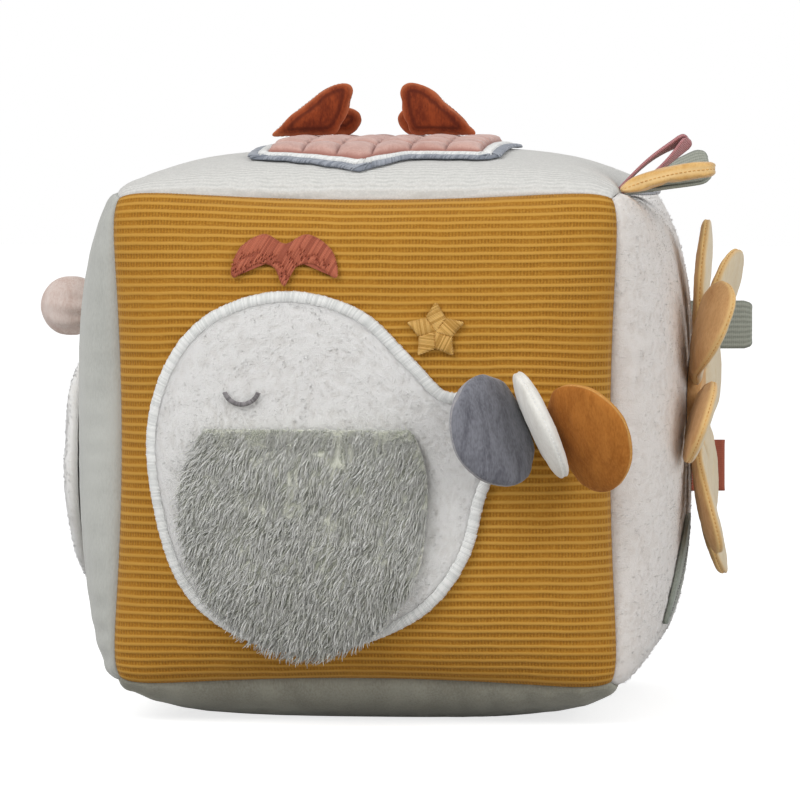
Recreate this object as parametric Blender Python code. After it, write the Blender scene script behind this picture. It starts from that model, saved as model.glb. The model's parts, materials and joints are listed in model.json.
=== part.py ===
"""Soft fabric activity block: six crowned panels sewn round a stuffed core.

Metres, +Z up. The origin is the middle of the flat that the block rests on, the front
panel faces -Y and the flower panel faces +X. Every piece is one closed body.
"""
import bmesh
import bpy
import math
from mathutils import Matrix, Vector

# The cube and its six panels
CUBE_SIDE = 0.150
SIDE_CROWN = 0.0150
FRONT_CROWN = 0.0150
TOP_CROWN = 0.0115
BOTTOM_CROWN = 0.0125
REST_FLAT_DEPTH = 0.0022
SETTLE_SHARE = 0.975
SEAM_PULL = 0.0034
CORNER_PULL = 0.0030
PANEL_WALL = 0.0025
PIECE_GAP = 0.0003
CROWN_SQUARENESS = 3.0
CROWN_STEEPNESS = 0.55
SEAM_REACH = 8
CORNER_REACH = 10
PANEL_STEPS = 12
EDGE_BIAS_SHARE = 0.6

# The rattle in the filling
CASE_RADIUS = 0.0170
CASE_WALL = 0.0012
SOUND_HOLE_RADIUS = 0.0020
RATTLE_BALL_RADIUS = 0.0050
CASE_STEPS = 16
CASE_ARC_STEPS = 5

# Sewn-on patches, measured from the panel's face
PATCH_LIFT = 0.0006
FLEECE_THICKNESS = 0.0020
BORDER_WIDTH = 0.0024
BORDER_THICKNESS = 0.0014
STITCH_THICKNESS = 0.0010
MOTIF_SIZE = 0.100
STAR_RADIUS = 0.0085
STAR_HOLLOW_RADIUS = 0.0050
STAR_POINTS = 5
CURVE_STEPS = 3

# The plush lift flap on the front
FLAP_THICKNESS = 0.0036
FLAP_CLEARANCE = 0.0004

# Padded velour pieces: length, width and thickness of each kind
TAIL_PAD_LENGTH = 0.0310
TAIL_PAD_WIDTH = 0.0320
TAIL_PAD_THICKNESS = 0.0058
EAR_LENGTH = 0.0155
EAR_WIDTH = 0.0190
EAR_THICKNESS = 0.0055
LOBE_LENGTH = 0.0082
LOBE_WIDTH = 0.0100
LOBE_THICKNESS = 0.0045
PETAL_LENGTH = 0.0410
PETAL_WIDTH = 0.0250
PETAL_THICKNESS = 0.0044
PAD_RIM = 0.0011
PAD_RINGS = 3
PETAL_COUNT = 8

# The flower's middle and its leaf
FLOWER_RADIUS = 0.0130
FLOWER_THICKNESS = 0.0046
FLOWER_RISE = 0.0093
PETAL_SEAT_SHARE = 0.62
FIRST_PETAL_DEG = 8
LEAF_LENGTH = 0.0480
LEAF_WIDTH = 0.0170
LEAF_THICKNESS = 0.0012

# The quilted patch on the top and its two sewn bands
QUILT_WIDTH = 0.0630
QUILT_DEPTH = 0.0770
QUILT_BLOCK_RISE = 0.0024
QUILT_EDGE = 0.0012
QUILT_BLOCKS_WIDE = 6
QUILT_BLOCKS_DEEP = 7
QUILT_STEPS_PER_BLOCK = 3
BAND_WIDTH = 0.0026
BAND_POINT_DROP = 0.0100

# The left panel's padded fleece patch and stuffed nub
SIDE_PATCH_WIDTH = 0.0860
SIDE_PATCH_HEIGHT = 0.0720
SIDE_PATCH_THICKNESS = 0.0055
SIDE_PATCH_DROP = 0.0130
NUB_LENGTH = 0.0175
NUB_RADIUS = 0.0090
NUB_ROOT_RADIUS = 0.0020
NUB_RISE = 0.0365
NUB_STEPS = 14

# Ribbon tabs and labels, each a strip folded in two
RIBBON_THICKNESS = 0.0007
FOLD_RADIUS = 0.0007
SIDE_RIBBON_LENGTH = 0.0335
SIDE_RIBBON_WIDTH = 0.0150
CORNER_RIBBON_LENGTH = 0.0265
LABEL_LENGTH = 0.0255
LABEL_WIDTH = 0.0160
PALE_TAB_LENGTH = 0.0085
PALE_TAB_WIDTH = 0.0160
LOOP_LENGTH = 0.0250
LOOP_WIDTH = 0.0060
LOOP_BULGE = 0.0013
YELLOW_TAB_LENGTH = 0.0280
YELLOW_TAB_WIDTH = 0.0140
YELLOW_TAB_THICKNESS = 0.0046

HALF = CUBE_SIDE / 2
SEAM_SHIFT = PIECE_GAP / math.sqrt(2)
CENTRE = Vector((0, 0, (HALF + BOTTOM_CROWN - REST_FLAT_DEPTH) * SETTLE_SHARE + SEAM_SHIFT))

# Outward normal, right-hand and up direction of each panel, seen from outside
FACES = {
    "front": (Vector((0, -1, 0)), Vector((1, 0, 0)), Vector((0, 0, 1))),
    "back": (Vector((0, 1, 0)), Vector((-1, 0, 0)), Vector((0, 0, 1))),
    "right": (Vector((1, 0, 0)), Vector((0, 1, 0)), Vector((0, 0, 1))),
    "left": (Vector((-1, 0, 0)), Vector((0, -1, 0)), Vector((0, 0, 1))),
    "top": (Vector((0, 0, 1)), Vector((1, 0, 0)), Vector((0, 1, 0))),
    "bottom": (Vector((0, 0, -1)), Vector((1, 0, 0)), Vector((0, -1, 0))),
}
CROWNS = {
    "front": FRONT_CROWN,
    "back": FRONT_CROWN,
    "right": SIDE_CROWN,
    "left": SIDE_CROWN,
    "top": TOP_CROWN,
    "bottom": BOTTOM_CROWN,
}

# Whale outline on the front, as shares of the motif size from the panel's middle
WHALE_SHARES = (
    (-0.60, -0.06), (-0.56, 0.18), (-0.43, 0.35), (-0.22, 0.42), (-0.01, 0.37),
    (0.14, 0.23), (0.24, 0.13), (0.34, 0.12), (0.40, 0.06), (0.385, -0.04),
    (0.34, -0.16), (0.29, -0.34), (0.16, -0.50), (-0.08, -0.60), (-0.32, -0.57),
    (-0.51, -0.40),
)
WHALE_MIDDLE_SHARES = (-0.10, -0.08)

# Free outline of the plush wave flap; its top edge is the straight sewn one
FLAP_SHARES = (
    (-0.44, 0.04), (-0.33, 0.04), (-0.20, 0.04), (-0.06, 0.04), (0.05, 0.04),
    (0.15, 0.04), (0.20, -0.08), (0.20, -0.24), (0.17, -0.40), (0.06, -0.55),
    (-0.10, -0.64), (-0.26, -0.61), (-0.40, -0.50), (-0.49, -0.34), (-0.51, -0.14),
)
FLAP_MIDDLE_SHARES = (-0.15, -0.28)
FLAP_SEWN_SHARE = 0.04

# Fountain outline over the whale's head
SPOUT_SHARES = (
    (-0.215, 0.465), (-0.245, 0.520), (-0.300, 0.530), (-0.365, 0.490),
    (-0.350, 0.570), (-0.280, 0.620), (-0.215, 0.590), (-0.150, 0.620),
    (-0.080, 0.570), (-0.065, 0.490), (-0.130, 0.530), (-0.185, 0.520),
)
SPOUT_MIDDLE_SHARES = (-0.215, 0.555)
STAR_PLACE_SHARES = (0.225, 0.33)

# Half outlines of the padded pieces: share of the length, share of the half width
PETAL_HALF_SHARES = (
    (0.0, 0.36), (0.18, 0.56), (0.40, 0.86), (0.62, 1.0), (0.82, 0.84), (0.95, 0.46),
)
EAR_HALF_SHARES = (
    (0.0, 0.90), (0.20, 0.97), (0.42, 0.88), (0.66, 0.68), (0.84, 0.52), (0.96, 0.28),
)
ROUND_HALF_SHARES = (
    (0.0, 0.30), (0.12, 0.70), (0.36, 0.97), (0.60, 1.0), (0.82, 0.78), (0.95, 0.42),
)
STRAP_HALF_SHARES = (
    (0.0, 0.90), (0.15, 0.98), (0.40, 1.0), (0.65, 1.0), (0.88, 0.98), (0.99, 0.86),
)
LEAF_SHARES = (
    (0.50, 0.0), (0.30, 0.34), (0.0, 0.50), (-0.30, 0.34), (-0.50, 0.0),
    (-0.30, -0.34), (0.0, -0.50), (0.30, -0.34),
)

# Places of the sewn-on pieces: shares of the motif, of the half side or of the quilted patch
TAIL_PLACE_SHARES = (0.518, 0.058)
TAIL_SPACING = 0.0037
TAIL_LEAN_DEG = 24
EAR_PLACES_SHARES = {"left": (-0.444, 0.234), "right": (0.246, 0.234)}
EAR_SLANTS_DEG = {"left": 40, "right": 33}
LOBE_SLANT_DEG = 12
LOBE_PLACES_SHARES = {"left": (-0.277, 0.380), "right": (0.098, 0.380)}
QUILT_PLACE_SHARES = (0.008, -0.180)
LEAF_PLACE_SHARES = (-0.26, -0.56)
BAND_POINT_SHARE = 0.55
BAND_POINT_REACH_SHARES = (0.20, 0.42)
TAB_PLACE_SHARES = {
    "yellow_tab": -0.70,
    "pink_ribbon_loop": -0.50,
    "corner_ribbon_tab": -0.31,
    "pale_tab": 0.06,
    "side_ribbon_tab": 0.39,
    "terracotta_label": -0.215,
}


def clear_scene():
    for item in list(bpy.data.objects):
        bpy.data.objects.remove(item, do_unlink=True)


def fabric(name, colour, roughness=0.9):
    """A plain cloth material in the part's own colour."""
    material = bpy.data.materials.new(name)
    material.use_nodes = True
    shader = material.node_tree.nodes["Principled BSDF"]
    shader.inputs["Base Color"].default_value = (*colour, 1.0)
    shader.inputs["Roughness"].default_value = roughness
    shader.inputs["Metallic"].default_value = 0.0
    material.diffuse_color = (*colour, 1.0)
    return material


def add_solid(name, points, faces, material, frame=None):
    """One named closed body, its faces turned outward, standing in its own frame."""
    mesh = bpy.data.meshes.new(name)
    shape = bmesh.new()
    corners = [shape.verts.new(point) for point in points]
    for face in faces:
        shape.faces.new([corners[index] for index in face])
    bmesh.ops.recalc_face_normals(shape, faces=shape.faces[:])
    shape.to_mesh(mesh)
    shape.free()
    mesh.shade_smooth()
    mesh.set_sharp_from_angle(angle=math.radians(40))
    mesh.materials.append(material)
    item = bpy.data.objects.new(name, mesh)
    bpy.context.collection.objects.link(item)
    if frame is not None:
        item.matrix_world = frame
    return item


def fullness(share):
    """How much of a panel's crown is reached at a share of the half side."""
    return max(0.0, 1.0 - abs(share) ** CROWN_SQUARENESS) ** CROWN_STEEPNESS


def drawn_in(value):
    """A corner's rounding, felt only where all three directions are near the corner."""
    return min(1.0, abs(value)) ** CORNER_REACH


def panel_point(face, u, v):
    """Point of the crowned surface over the cube's middle; u and v run from -1 to 1."""
    normal, right, up = FACES[face]
    draw_u = abs(u) ** SEAM_REACH * (1 - v * v)
    draw_v = abs(v) ** SEAM_REACH * (1 - u * u)
    across = HALF * u - math.copysign(SEAM_PULL * draw_u, u)
    along = HALF * v - math.copysign(SEAM_PULL * draw_v, v)
    crown = CROWNS[face]
    height = HALF - SEAM_PULL * (draw_u + draw_v) + crown * fullness(u) * fullness(v)
    if face == "bottom":
        height = min(height, HALF + crown - REST_FLAT_DEPTH)
    corner = CORNER_PULL * drawn_in(across * along / (HALF * HALF))
    across -= math.copysign(corner, u)
    along -= math.copysign(corner, v)
    height -= corner
    point = normal * height + right * across + up * along
    point.z *= SETTLE_SHARE
    return point


def spread(step, steps):
    """Grid shares that lie closer together toward the seams."""
    even = 2 * step / steps - 1
    return (1 - EDGE_BIAS_SHARE) * even + EDGE_BIAS_SHARE * math.sin(math.pi * even / 2)


def on_face(face, across, along, lift):
    """World point over a panel's face, given in metres from the panel's middle."""
    normal = FACES[face][0]
    return CENTRE + panel_point(face, across / HALF, along / HALF) + normal * (SEAM_SHIFT + lift)


def face_normal(face, across, along):
    """Outward normal of the crowned face at a place in metres."""
    reach = PATCH_LIFT
    side = on_face(face, across + reach, along, 0) - on_face(face, across - reach, along, 0)
    rise = on_face(face, across, along + reach, 0) - on_face(face, across, along - reach, 0)
    normal = side.cross(rise).normalized()
    return normal


def closed_curve(corners, steps=CURVE_STEPS):
    """Smooth closed outline through hand-placed corners."""
    points = []
    count = len(corners)
    for index in range(count):
        before, start, end, after = (corners[(index + k) % count] for k in (-1, 0, 1, 2))
        for step in range(steps):
            t = step / steps
            points.append(tuple(
                0.5 * (2 * s + (e - b) * t + (2 * b - 5 * s + 4 * e - a) * t * t
                       + (3 * s - b - 3 * e + a) * t ** 3)
                for b, s, e, a in zip(before, start, end, after)))
    return points


def sized(shares, size):
    return [(a * size, b * size) for a, b in shares]


def ring_faces(count, rings):
    """Faces of two like sheets of rings about a middle point, joined at the rim."""
    faces = []
    sheet = count * rings + 1
    for base in (0, sheet):
        for index in range(count):
            after = (index + 1) % count
            faces.append((base, base + 1 + index, base + 1 + after))
            for ring in range(rings - 1):
                near = base + 1 + ring * count
                far = near + count
                faces.append((near + index, far + index, far + after, near + after))
    edge = 1 + (rings - 1) * count
    for index in range(count):
        after = (index + 1) % count
        faces.append((edge + index, edge + after, sheet + edge + after, sheet + edge + index))
    return faces


def ring_sheet(outline, middle, rings):
    """Middle point and rings of a star-shaped outline, with each point's ring share."""
    points = [(middle[0], middle[1], 0.0)]
    for ring in range(1, rings + 1):
        share = (ring / rings) ** 0.8
        for a, b in outline:
            points.append((middle[0] + (a - middle[0]) * share,
                           middle[1] + (b - middle[1]) * share, ring / rings))
    return points


def patch(name, face, outline, middle, lift, thickness, material, rings=5, edge_share=1.0, pivot=None):
    """A flat or softly padded patch that follows the crowned panel under it."""
    sheet = ring_sheet(outline, middle, rings)
    origin = pivot if pivot is not None else Vector((0, 0, 0))
    top = []
    bottom = []
    for a, b, share in sheet:
        swell = edge_share + (1 - edge_share) * math.sqrt(max(0.0, 1 - share * share))
        top.append(on_face(face, a, b, lift + thickness * swell) - origin)
        bottom.append(on_face(face, a, b, lift) - origin)
    frame = Matrix.Translation(origin)
    return add_solid(name, top + bottom, ring_faces(len(outline), rings), material, frame)


def outset(outline, distance):
    """The same outline moved out along its own normals; outlines run clockwise."""
    moved = []
    count = len(outline)
    for index, (a, b) in enumerate(outline):
        before = Vector(outline[index - 1])
        after = Vector(outline[(index + 1) % count])
        way = (after - before).normalized()
        moved.append((a - way.y * distance, b + way.x * distance))
    return moved


def band(name, face, outline, near, far, lift, thickness, material):
    """A closed stitched band beside an outline, following the panel."""
    inner = outset(outline, near)
    outer = outset(outline, far)
    count = len(outline)
    points = []
    for level in (lift, lift + thickness):
        for ring in (inner, outer):
            points += [on_face(face, a, b, level) for a, b in ring]
    faces = []
    for index in range(count):
        after = (index + 1) % count
        corners = ((0, 1), (1, 3), (3, 2), (2, 0))
        for first, second in corners:
            faces.append((first * count + index, first * count + after,
                          second * count + after, second * count + index))
    return add_solid(name, points, faces, material)


def make_panel(face, material):
    """One fabric panel with its wadding: crowned outside, mitred at its four seams."""
    steps = PANEL_STEPS
    row = steps + 1
    shift = CENTRE + FACES[face][0] * SEAM_SHIFT
    wall_scale = 1 - PANEL_WALL / HALF
    outer = []
    for j in range(row):
        for i in range(row):
            outer.append(panel_point(face, spread(i, steps), spread(j, steps)))
    points = [shift + point for point in outer] + [shift + point * wall_scale for point in outer]
    faces = []
    for base in (0, row * row):
        for j in range(steps):
            for i in range(steps):
                at = base + j * row + i
                faces.append((at, at + 1, at + row + 1, at + row))
    rim = [i for i in range(row)]
    rim += [j * row + steps for j in range(1, row)]
    rim += [steps * row + i for i in range(steps - 1, -1, -1)]
    rim += [j * row for j in range(steps - 1, 0, -1)]
    for index, at in enumerate(rim):
        after = rim[(index + 1) % len(rim)]
        faces.append((at, after, row * row + after, row * row + at))
    return add_solid(face + "_panel", points, faces, material)


def make_stuffing(name, side, material):
    """Half of the fibre filling, hollowed for the rattle case; side is 1 or -1."""
    steps = PANEL_STEPS
    row = steps + 1
    core_scale = 1 - (PANEL_WALL + PIECE_GAP) / HALF
    mesh = bpy.data.meshes.new(name)
    shape = bmesh.new()
    for face in FACES:
        corners = []
        for j in range(row):
            for i in range(row):
                point = panel_point(face, spread(i, steps), spread(j, steps)) * core_scale
                corners.append(shape.verts.new(point + CENTRE))
        for j in range(steps):
            for i in range(steps):
                at = j * row + i
                shape.faces.new([corners[k] for k in (at, at + 1, at + row + 1, at + row)])
    bmesh.ops.remove_doubles(shape, verts=shape.verts[:], dist=PIECE_GAP / 100)
    cut = CENTRE + Vector((0, 0, side * PIECE_GAP / 2))
    bmesh.ops.bisect_plane(shape, geom=shape.verts[:] + shape.edges[:] + shape.faces[:],
                           plane_co=cut, plane_no=Vector((0, 0, side)), clear_inner=True)
    rim = [edge for edge in shape.edges if edge.is_boundary]
    bmesh.ops.contextual_create(shape, geom=rim)
    bmesh.ops.recalc_face_normals(shape, faces=shape.faces[:])
    shape.to_mesh(mesh)
    shape.free()
    mesh.materials.append(material)
    item = bpy.data.objects.new(name, mesh)
    bpy.context.collection.objects.link(item)
    cutter = make_cutter(name + "_pocket_cutter")
    hollow = item.modifiers.new("rattle pocket", "BOOLEAN")
    hollow.operation = "DIFFERENCE"
    hollow.solver = "EXACT"
    hollow.object = cutter
    return item


def make_cutter(name):
    """The sphere that hollows the filling round the rattle case."""
    mesh = bpy.data.meshes.new(name)
    shape = bmesh.new()
    bmesh.ops.create_uvsphere(shape, u_segments=CASE_STEPS, v_segments=CASE_STEPS // 2,
                              radius=CASE_RADIUS + 3 * PIECE_GAP)
    shape.to_mesh(mesh)
    shape.free()
    item = bpy.data.objects.new(name, mesh)
    bpy.context.collection.objects.link(item)
    item.location = CENTRE
    item.hide_render = True
    item.display_type = "WIRE"
    return item


def turned(profile, steps):
    """Points and faces of a closed profile of (radius, height) turned about Z."""
    count = len(profile)
    points = []
    for step in range(steps):
        angle = 2 * math.pi * step / steps
        points += [(r * math.cos(angle), r * math.sin(angle), z) for r, z in profile]
    faces = []
    for step in range(steps):
        after = (step + 1) % steps
        for index in range(count):
            up = (index + 1) % count
            faces.append((step * count + index, after * count + index,
                          after * count + up, step * count + up))
    return points, faces


def make_case_half(name, side, material):
    """Half of the hollow rattle ball, with a sound hole at its pole."""
    profile = []
    radii = (CASE_RADIUS, CASE_RADIUS - CASE_WALL)
    for order, radius in enumerate(radii):
        hole = math.asin(SOUND_HOLE_RADIUS / radius)
        rim = math.acos(PIECE_GAP / 2 / radius)
        arc = []
        for step in range(CASE_ARC_STEPS + 1):
            angle = hole + (rim - hole) * step / CASE_ARC_STEPS
            arc.append((radius * math.sin(angle), side * radius * math.cos(angle)))
        profile += arc if order == 0 else arc[::-1]
    points, faces = turned(profile, CASE_STEPS)
    return add_solid(name, points, faces, material, Matrix.Translation(CENTRE))


def make_rattle_ball(material):
    """The loose ball, lying on the lower half of the case."""
    mesh = bpy.data.meshes.new("rattle_ball")
    shape = bmesh.new()
    bmesh.ops.create_icosphere(shape, subdivisions=2, radius=RATTLE_BALL_RADIUS)
    shape.to_mesh(mesh)
    shape.free()
    mesh.shade_smooth()
    mesh.materials.append(material)
    item = bpy.data.objects.new("rattle_ball", mesh)
    bpy.context.collection.objects.link(item)
    item.location = CENTRE - Vector((0, 0, ball_travel() / 2))
    return item


def ball_travel():
    """How far the loose ball can fall inside its case."""
    return 2 * (CASE_RADIUS - CASE_WALL - RATTLE_BALL_RADIUS - 2 * PIECE_GAP)


def frame_at(place, way, normal):
    """Frame with X along a piece, Z out of its upper face and its origin on its seam."""
    x_axis = way.normalized()
    z_axis = (normal - x_axis * normal.dot(x_axis)).normalized()
    y_axis = z_axis.cross(x_axis)
    frame = Matrix.Translation(place)
    for row in range(3):
        frame[row][0] = x_axis[row]
        frame[row][1] = y_axis[row]
        frame[row][2] = z_axis[row]
    return frame


def make_pad(name, half_shares, length, width, thickness, material, frame,
             curl_deg=0, cup_share=0.0, slant=0.0):
    """Two velour layers with wadding between: swelling middle, thin sewn rim."""
    corners = [(s * length, -w * width / 2) for s, w in half_shares]
    corners += [(length, 0.0)]
    corners += [(s * length, w * width / 2) for s, w in reversed(half_shares)]
    outline = closed_curve(corners, 2)
    outline = [(max(0.0, a), b) for a, b in outline]
    sheet = ring_sheet(outline, (length / 2, 0.0), PAD_RINGS)
    bend = math.radians(curl_deg) / length
    points = []
    for side in (1, -1):
        for a, b, share in sheet:
            swell = math.sqrt(max(0.0, 1 - share * share))
            height = side * (PAD_RIM + (thickness - PAD_RIM) * swell) / 2
            height += cup_share * width * (2 * b / width) ** 2 * (a / length)
            b += slant * a
            if bend:
                radius = 1 / bend
                turn = a * bend
                points.append(((radius - height) * math.sin(turn), b,
                               radius - (radius - height) * math.cos(turn)))
            else:
                points.append((a, b, height))
    return add_solid(name, points, ring_faces(len(outline), PAD_RINGS), material, frame)


def make_strip(name, path, thickness, width, material, frame, twist_deg=0):
    """A ribbon that follows a path of (along, out) points, twisting toward its fold."""
    sides = ([], [])
    count = len(path)
    for index, (a, b) in enumerate(path):
        before = Vector(path[max(0, index - 1)])
        after = Vector(path[min(count - 1, index + 1)])
        way = (after - before).normalized()
        for side, sign in zip(sides, (1, -1)):
            side.append((a - sign * way.y * thickness / 2, b + sign * way.x * thickness / 2))
    section = sides[0] + sides[1][::-1]
    size = len(section)
    length = max(a for a, b in section)
    points = []
    for edge in (-1, 1):
        for a, b in section:
            turn = math.radians(twist_deg) * a / length
            y = edge * width / 2
            points.append((a, y * math.cos(turn) - b * math.sin(turn),
                           y * math.sin(turn) + b * math.cos(turn)))
    faces = []
    for index in range(size):
        after = (index + 1) % size
        faces.append((index, after, size + after, size + index))
    for base in (0, size):
        for index in range(count - 1):
            faces.append((base + index, base + index + 1,
                          base + size - 2 - index, base + size - 1 - index))
    return add_solid(name, points, faces, material, frame)


def folded_path(length, radius, bulge):
    """Path of a ribbon folded in two, its strands bowed apart by the bulge."""
    straight = 6
    turn = 6
    near = []
    for step in range(straight + 1):
        share = step / straight
        near.append((share * (length - radius), radius + bulge * math.sin(math.pi * share)))
    arc = []
    for step in range(1, turn):
        angle = math.pi / 2 - math.pi * step / turn
        arc.append((length - radius + radius * math.cos(angle), radius * math.sin(angle)))
    return near + arc + [(a, -b) for a, b in reversed(near)]


def seam_place(face_a, face_b, along_share, thickness, tilt):
    """Root of a tab sewn between two panels: it leaves toward face_a, just past face_b."""
    normal_a = FACES[face_a][0]
    normal_b = FACES[face_b][0]
    up = FACES[face_a][2]
    right = FACES[face_a][1]
    if abs(normal_b.dot(up)) > 0.5:
        ridge = panel_point(face_a, along_share * normal_along(right), normal_b.dot(up))
    else:
        ridge = panel_point(face_a, normal_b.dot(right), along_share)
    clear = SEAM_SHIFT + PIECE_GAP
    lift = thickness / 2 * math.cos(tilt)
    back = thickness / 2 * math.sin(tilt)
    return CENTRE + ridge + normal_a * (clear - back) + normal_b * (clear + lift)


def normal_along(direction):
    """1 where a panel's right-hand direction runs along +X or +Y, else -1."""
    return 1 if direction.x + direction.y > 0 else -1


def seam_tab_frame(face_a, face_b, along_share, thickness, tilt_deg):
    tilt = math.radians(tilt_deg)
    place = seam_place(face_a, face_b, along_share, thickness, tilt)
    normal_a = FACES[face_a][0]
    normal_b = FACES[face_b][0]
    way = normal_a * math.cos(tilt) + normal_b * math.sin(tilt)
    out = normal_b * math.cos(tilt) - normal_a * math.sin(tilt)
    return frame_at(place, way, out)


def add_body(paint):
    make_panel("front", paint["ochre"])
    make_panel("back", paint["velour"])
    make_panel("left", paint["velour"])
    make_panel("right", paint["teddy"])
    make_panel("top", paint["cream"])
    make_panel("bottom", paint["velour"])
    make_stuffing("stuffing_lower", -1, paint["filling"])
    make_stuffing("stuffing_upper", 1, paint["filling"])
    make_case_half("rattle_case_lower", -1, paint["plastic"])
    make_case_half("rattle_case_upper", 1, paint["plastic"])
    make_rattle_ball(paint["plastic"])


def add_front(paint):
    whale = closed_curve(sized(WHALE_SHARES, MOTIF_SIZE))
    middle = sized([WHALE_MIDDLE_SHARES], MOTIF_SIZE)[0]
    patch("fleece_applique", "front", whale, middle, PATCH_LIFT, FLEECE_THICKNESS,
          paint["fleece"], rings=6)
    band("satin_border", "front", whale, PIECE_GAP, PIECE_GAP + BORDER_WIDTH,
         PATCH_LIFT, BORDER_THICKNESS, paint["satin"])
    spout = closed_curve(sized(SPOUT_SHARES, MOTIF_SIZE), 2)
    middle = sized([SPOUT_MIDDLE_SHARES], MOTIF_SIZE)[0]
    patch("rust_stitched_patch", "front", spout, middle, PATCH_LIFT, STITCH_THICKNESS,
          paint["rust"], rings=2)
    star_a, star_b = (share * MOTIF_SIZE for share in STAR_PLACE_SHARES)
    star = []
    for step in range(2 * STAR_POINTS):
        radius = STAR_HOLLOW_RADIUS if step % 2 else STAR_RADIUS
        angle = math.pi * step / STAR_POINTS
        star.append((star_a + radius * math.sin(angle), star_b + radius * math.cos(angle)))
    patch("gold_stitched_patch", "front", closed_curve(star, 2), (star_a, star_b), PATCH_LIFT,
          STITCH_THICKNESS, paint["gold"], rings=2)
    flap = closed_curve(sized(FLAP_SHARES, MOTIF_SIZE), 2)
    sewn = FLAP_SEWN_SHARE * MOTIF_SIZE
    flap = [(a, min(b, sewn)) for a, b in flap]
    middle = sized([FLAP_MIDDLE_SHARES], MOTIF_SIZE)[0]
    lift = PATCH_LIFT + FLEECE_THICKNESS + FLAP_CLEARANCE
    pivot = on_face("front", middle[0], sewn, lift)
    patch("plush_flap", "front", flap, middle, lift, FLAP_THICKNESS, paint["plush"],
          edge_share=0.45, pivot=pivot)


def add_tail_pads(paint):
    """Three round pads sewn side by side, fanned left, out and right."""
    across, along = (share * MOTIF_SIZE for share in TAIL_PLACE_SHARES)
    normal = face_normal("front", across, along)
    pads = (
        ("tail_pad_left", -1, 0.15, -23, -54, "grey_blue"),
        ("tail_pad_middle", 0, 0.03, -5, 6, "white"),
        ("tail_pad_right", 1, -0.27, 11, 44, "brown"),
    )
    lean = math.radians(TAIL_LEAN_DEG)
    side = Vector((math.cos(lean), 0, math.sin(lean)))
    side = (side - normal * side.dot(normal)).normalized()
    for name, order, slide_share, fan_deg, curl_deg, colour in pads:
        fan = math.radians(fan_deg)
        step = order * TAIL_SPACING
        slide = slide_share * TAIL_PAD_WIDTH
        place = on_face("front", across + step * side.x - slide * side.z,
                        along + step * side.z + slide * side.x, 0)
        place += normal * (PIECE_GAP + PAD_RIM / 2 * abs(math.sin(fan)))
        way = normal * math.cos(fan) + side * math.sin(fan)
        out = side * math.cos(fan) - normal * math.sin(fan)
        make_pad(name, ROUND_HALF_SHARES, TAIL_PAD_LENGTH, TAIL_PAD_WIDTH, TAIL_PAD_THICKNESS,
                 paint[colour], frame_at(place, way, out), curl_deg)


def quilt_place(place_shares):
    """A place on the quilt, from shares of its width and depth."""
    middle_a, middle_b = (share * HALF for share in QUILT_PLACE_SHARES)
    return middle_a + place_shares[0] * QUILT_WIDTH, middle_b + place_shares[1] * QUILT_DEPTH


def quilt_rise(i, j):
    """Height of the quilted patch at one point of its grid: sewn valleys, puffed blocks."""
    puff = abs(math.sin(math.pi * i / QUILT_STEPS_PER_BLOCK))
    puff *= abs(math.sin(math.pi * j / QUILT_STEPS_PER_BLOCK))
    return QUILT_EDGE + QUILT_BLOCK_RISE * puff ** 0.5


def quilt_top(across, along, reach):
    """Greatest height of the quilt along a seam line of half length reach."""
    middle_a, middle_b = (share * HALF for share in QUILT_PLACE_SHARES)
    steps_wide = QUILT_BLOCKS_WIDE * QUILT_STEPS_PER_BLOCK
    steps_deep = QUILT_BLOCKS_DEEP * QUILT_STEPS_PER_BLOCK
    highest = QUILT_EDGE
    samples = 24
    for step in range(-samples, samples + 1):
        for side in (-1, 1):
            i = ((across + reach * step / samples - middle_a) / QUILT_WIDTH + 0.5) * steps_wide
            j = ((along + side * PAD_RIM - middle_b) / QUILT_DEPTH + 0.5) * steps_deep
            near_i, near_j = math.floor(i), math.floor(j)
            part_i, part_j = i - near_i, j - near_j
            low = quilt_rise(near_i, near_j) * (1 - part_i) + quilt_rise(near_i + 1, near_j) * part_i
            high = quilt_rise(near_i, near_j + 1) * (1 - part_i)
            high += quilt_rise(near_i + 1, near_j + 1) * part_i
            highest = max(highest, low * (1 - part_j) + high * part_j)
    return highest


def add_top(paint):
    across, along = (share * HALF for share in QUILT_PLACE_SHARES)
    steps_wide = QUILT_BLOCKS_WIDE * QUILT_STEPS_PER_BLOCK
    steps_deep = QUILT_BLOCKS_DEEP * QUILT_STEPS_PER_BLOCK
    row = steps_wide + 1
    top = []
    bottom = []
    for j in range(steps_deep + 1):
        for i in range(row):
            u = i / steps_wide - 0.5
            v = j / steps_deep - 0.5
            a = across + u * QUILT_WIDTH
            b = along + v * QUILT_DEPTH
            top.append(on_face("top", a, b, PATCH_LIFT + quilt_rise(i, j)))
            bottom.append(on_face("top", a, b, PATCH_LIFT))
    faces = []
    sheet = len(top)
    for base in (0, sheet):
        for j in range(steps_deep):
            for i in range(steps_wide):
                at = base + j * row + i
                faces.append((at, at + 1, at + row + 1, at + row))
    rim = [i for i in range(row)]
    rim += [j * row + steps_wide for j in range(1, steps_deep + 1)]
    rim += [steps_deep * row + i for i in range(steps_wide - 1, -1, -1)]
    rim += [j * row for j in range(steps_deep - 1, 0, -1)]
    for index, at in enumerate(rim):
        after = rim[(index + 1) % len(rim)]
        faces.append((at, after, sheet + after, sheet + at))
    add_solid("pink_quilt_patch", top + bottom, faces, paint["pink"])
    outline = quilt_outline(across, along)
    band("quilt_border", "top", outline, PIECE_GAP, PIECE_GAP + BAND_WIDTH, PATCH_LIFT,
         BORDER_THICKNESS, paint["satin"])
    second = 2 * PIECE_GAP + BAND_WIDTH
    band("blue_stitched_band", "top", outline, second, second + BAND_WIDTH, PATCH_LIFT,
         STITCH_THICKNESS, paint["blue_thread"])


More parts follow.
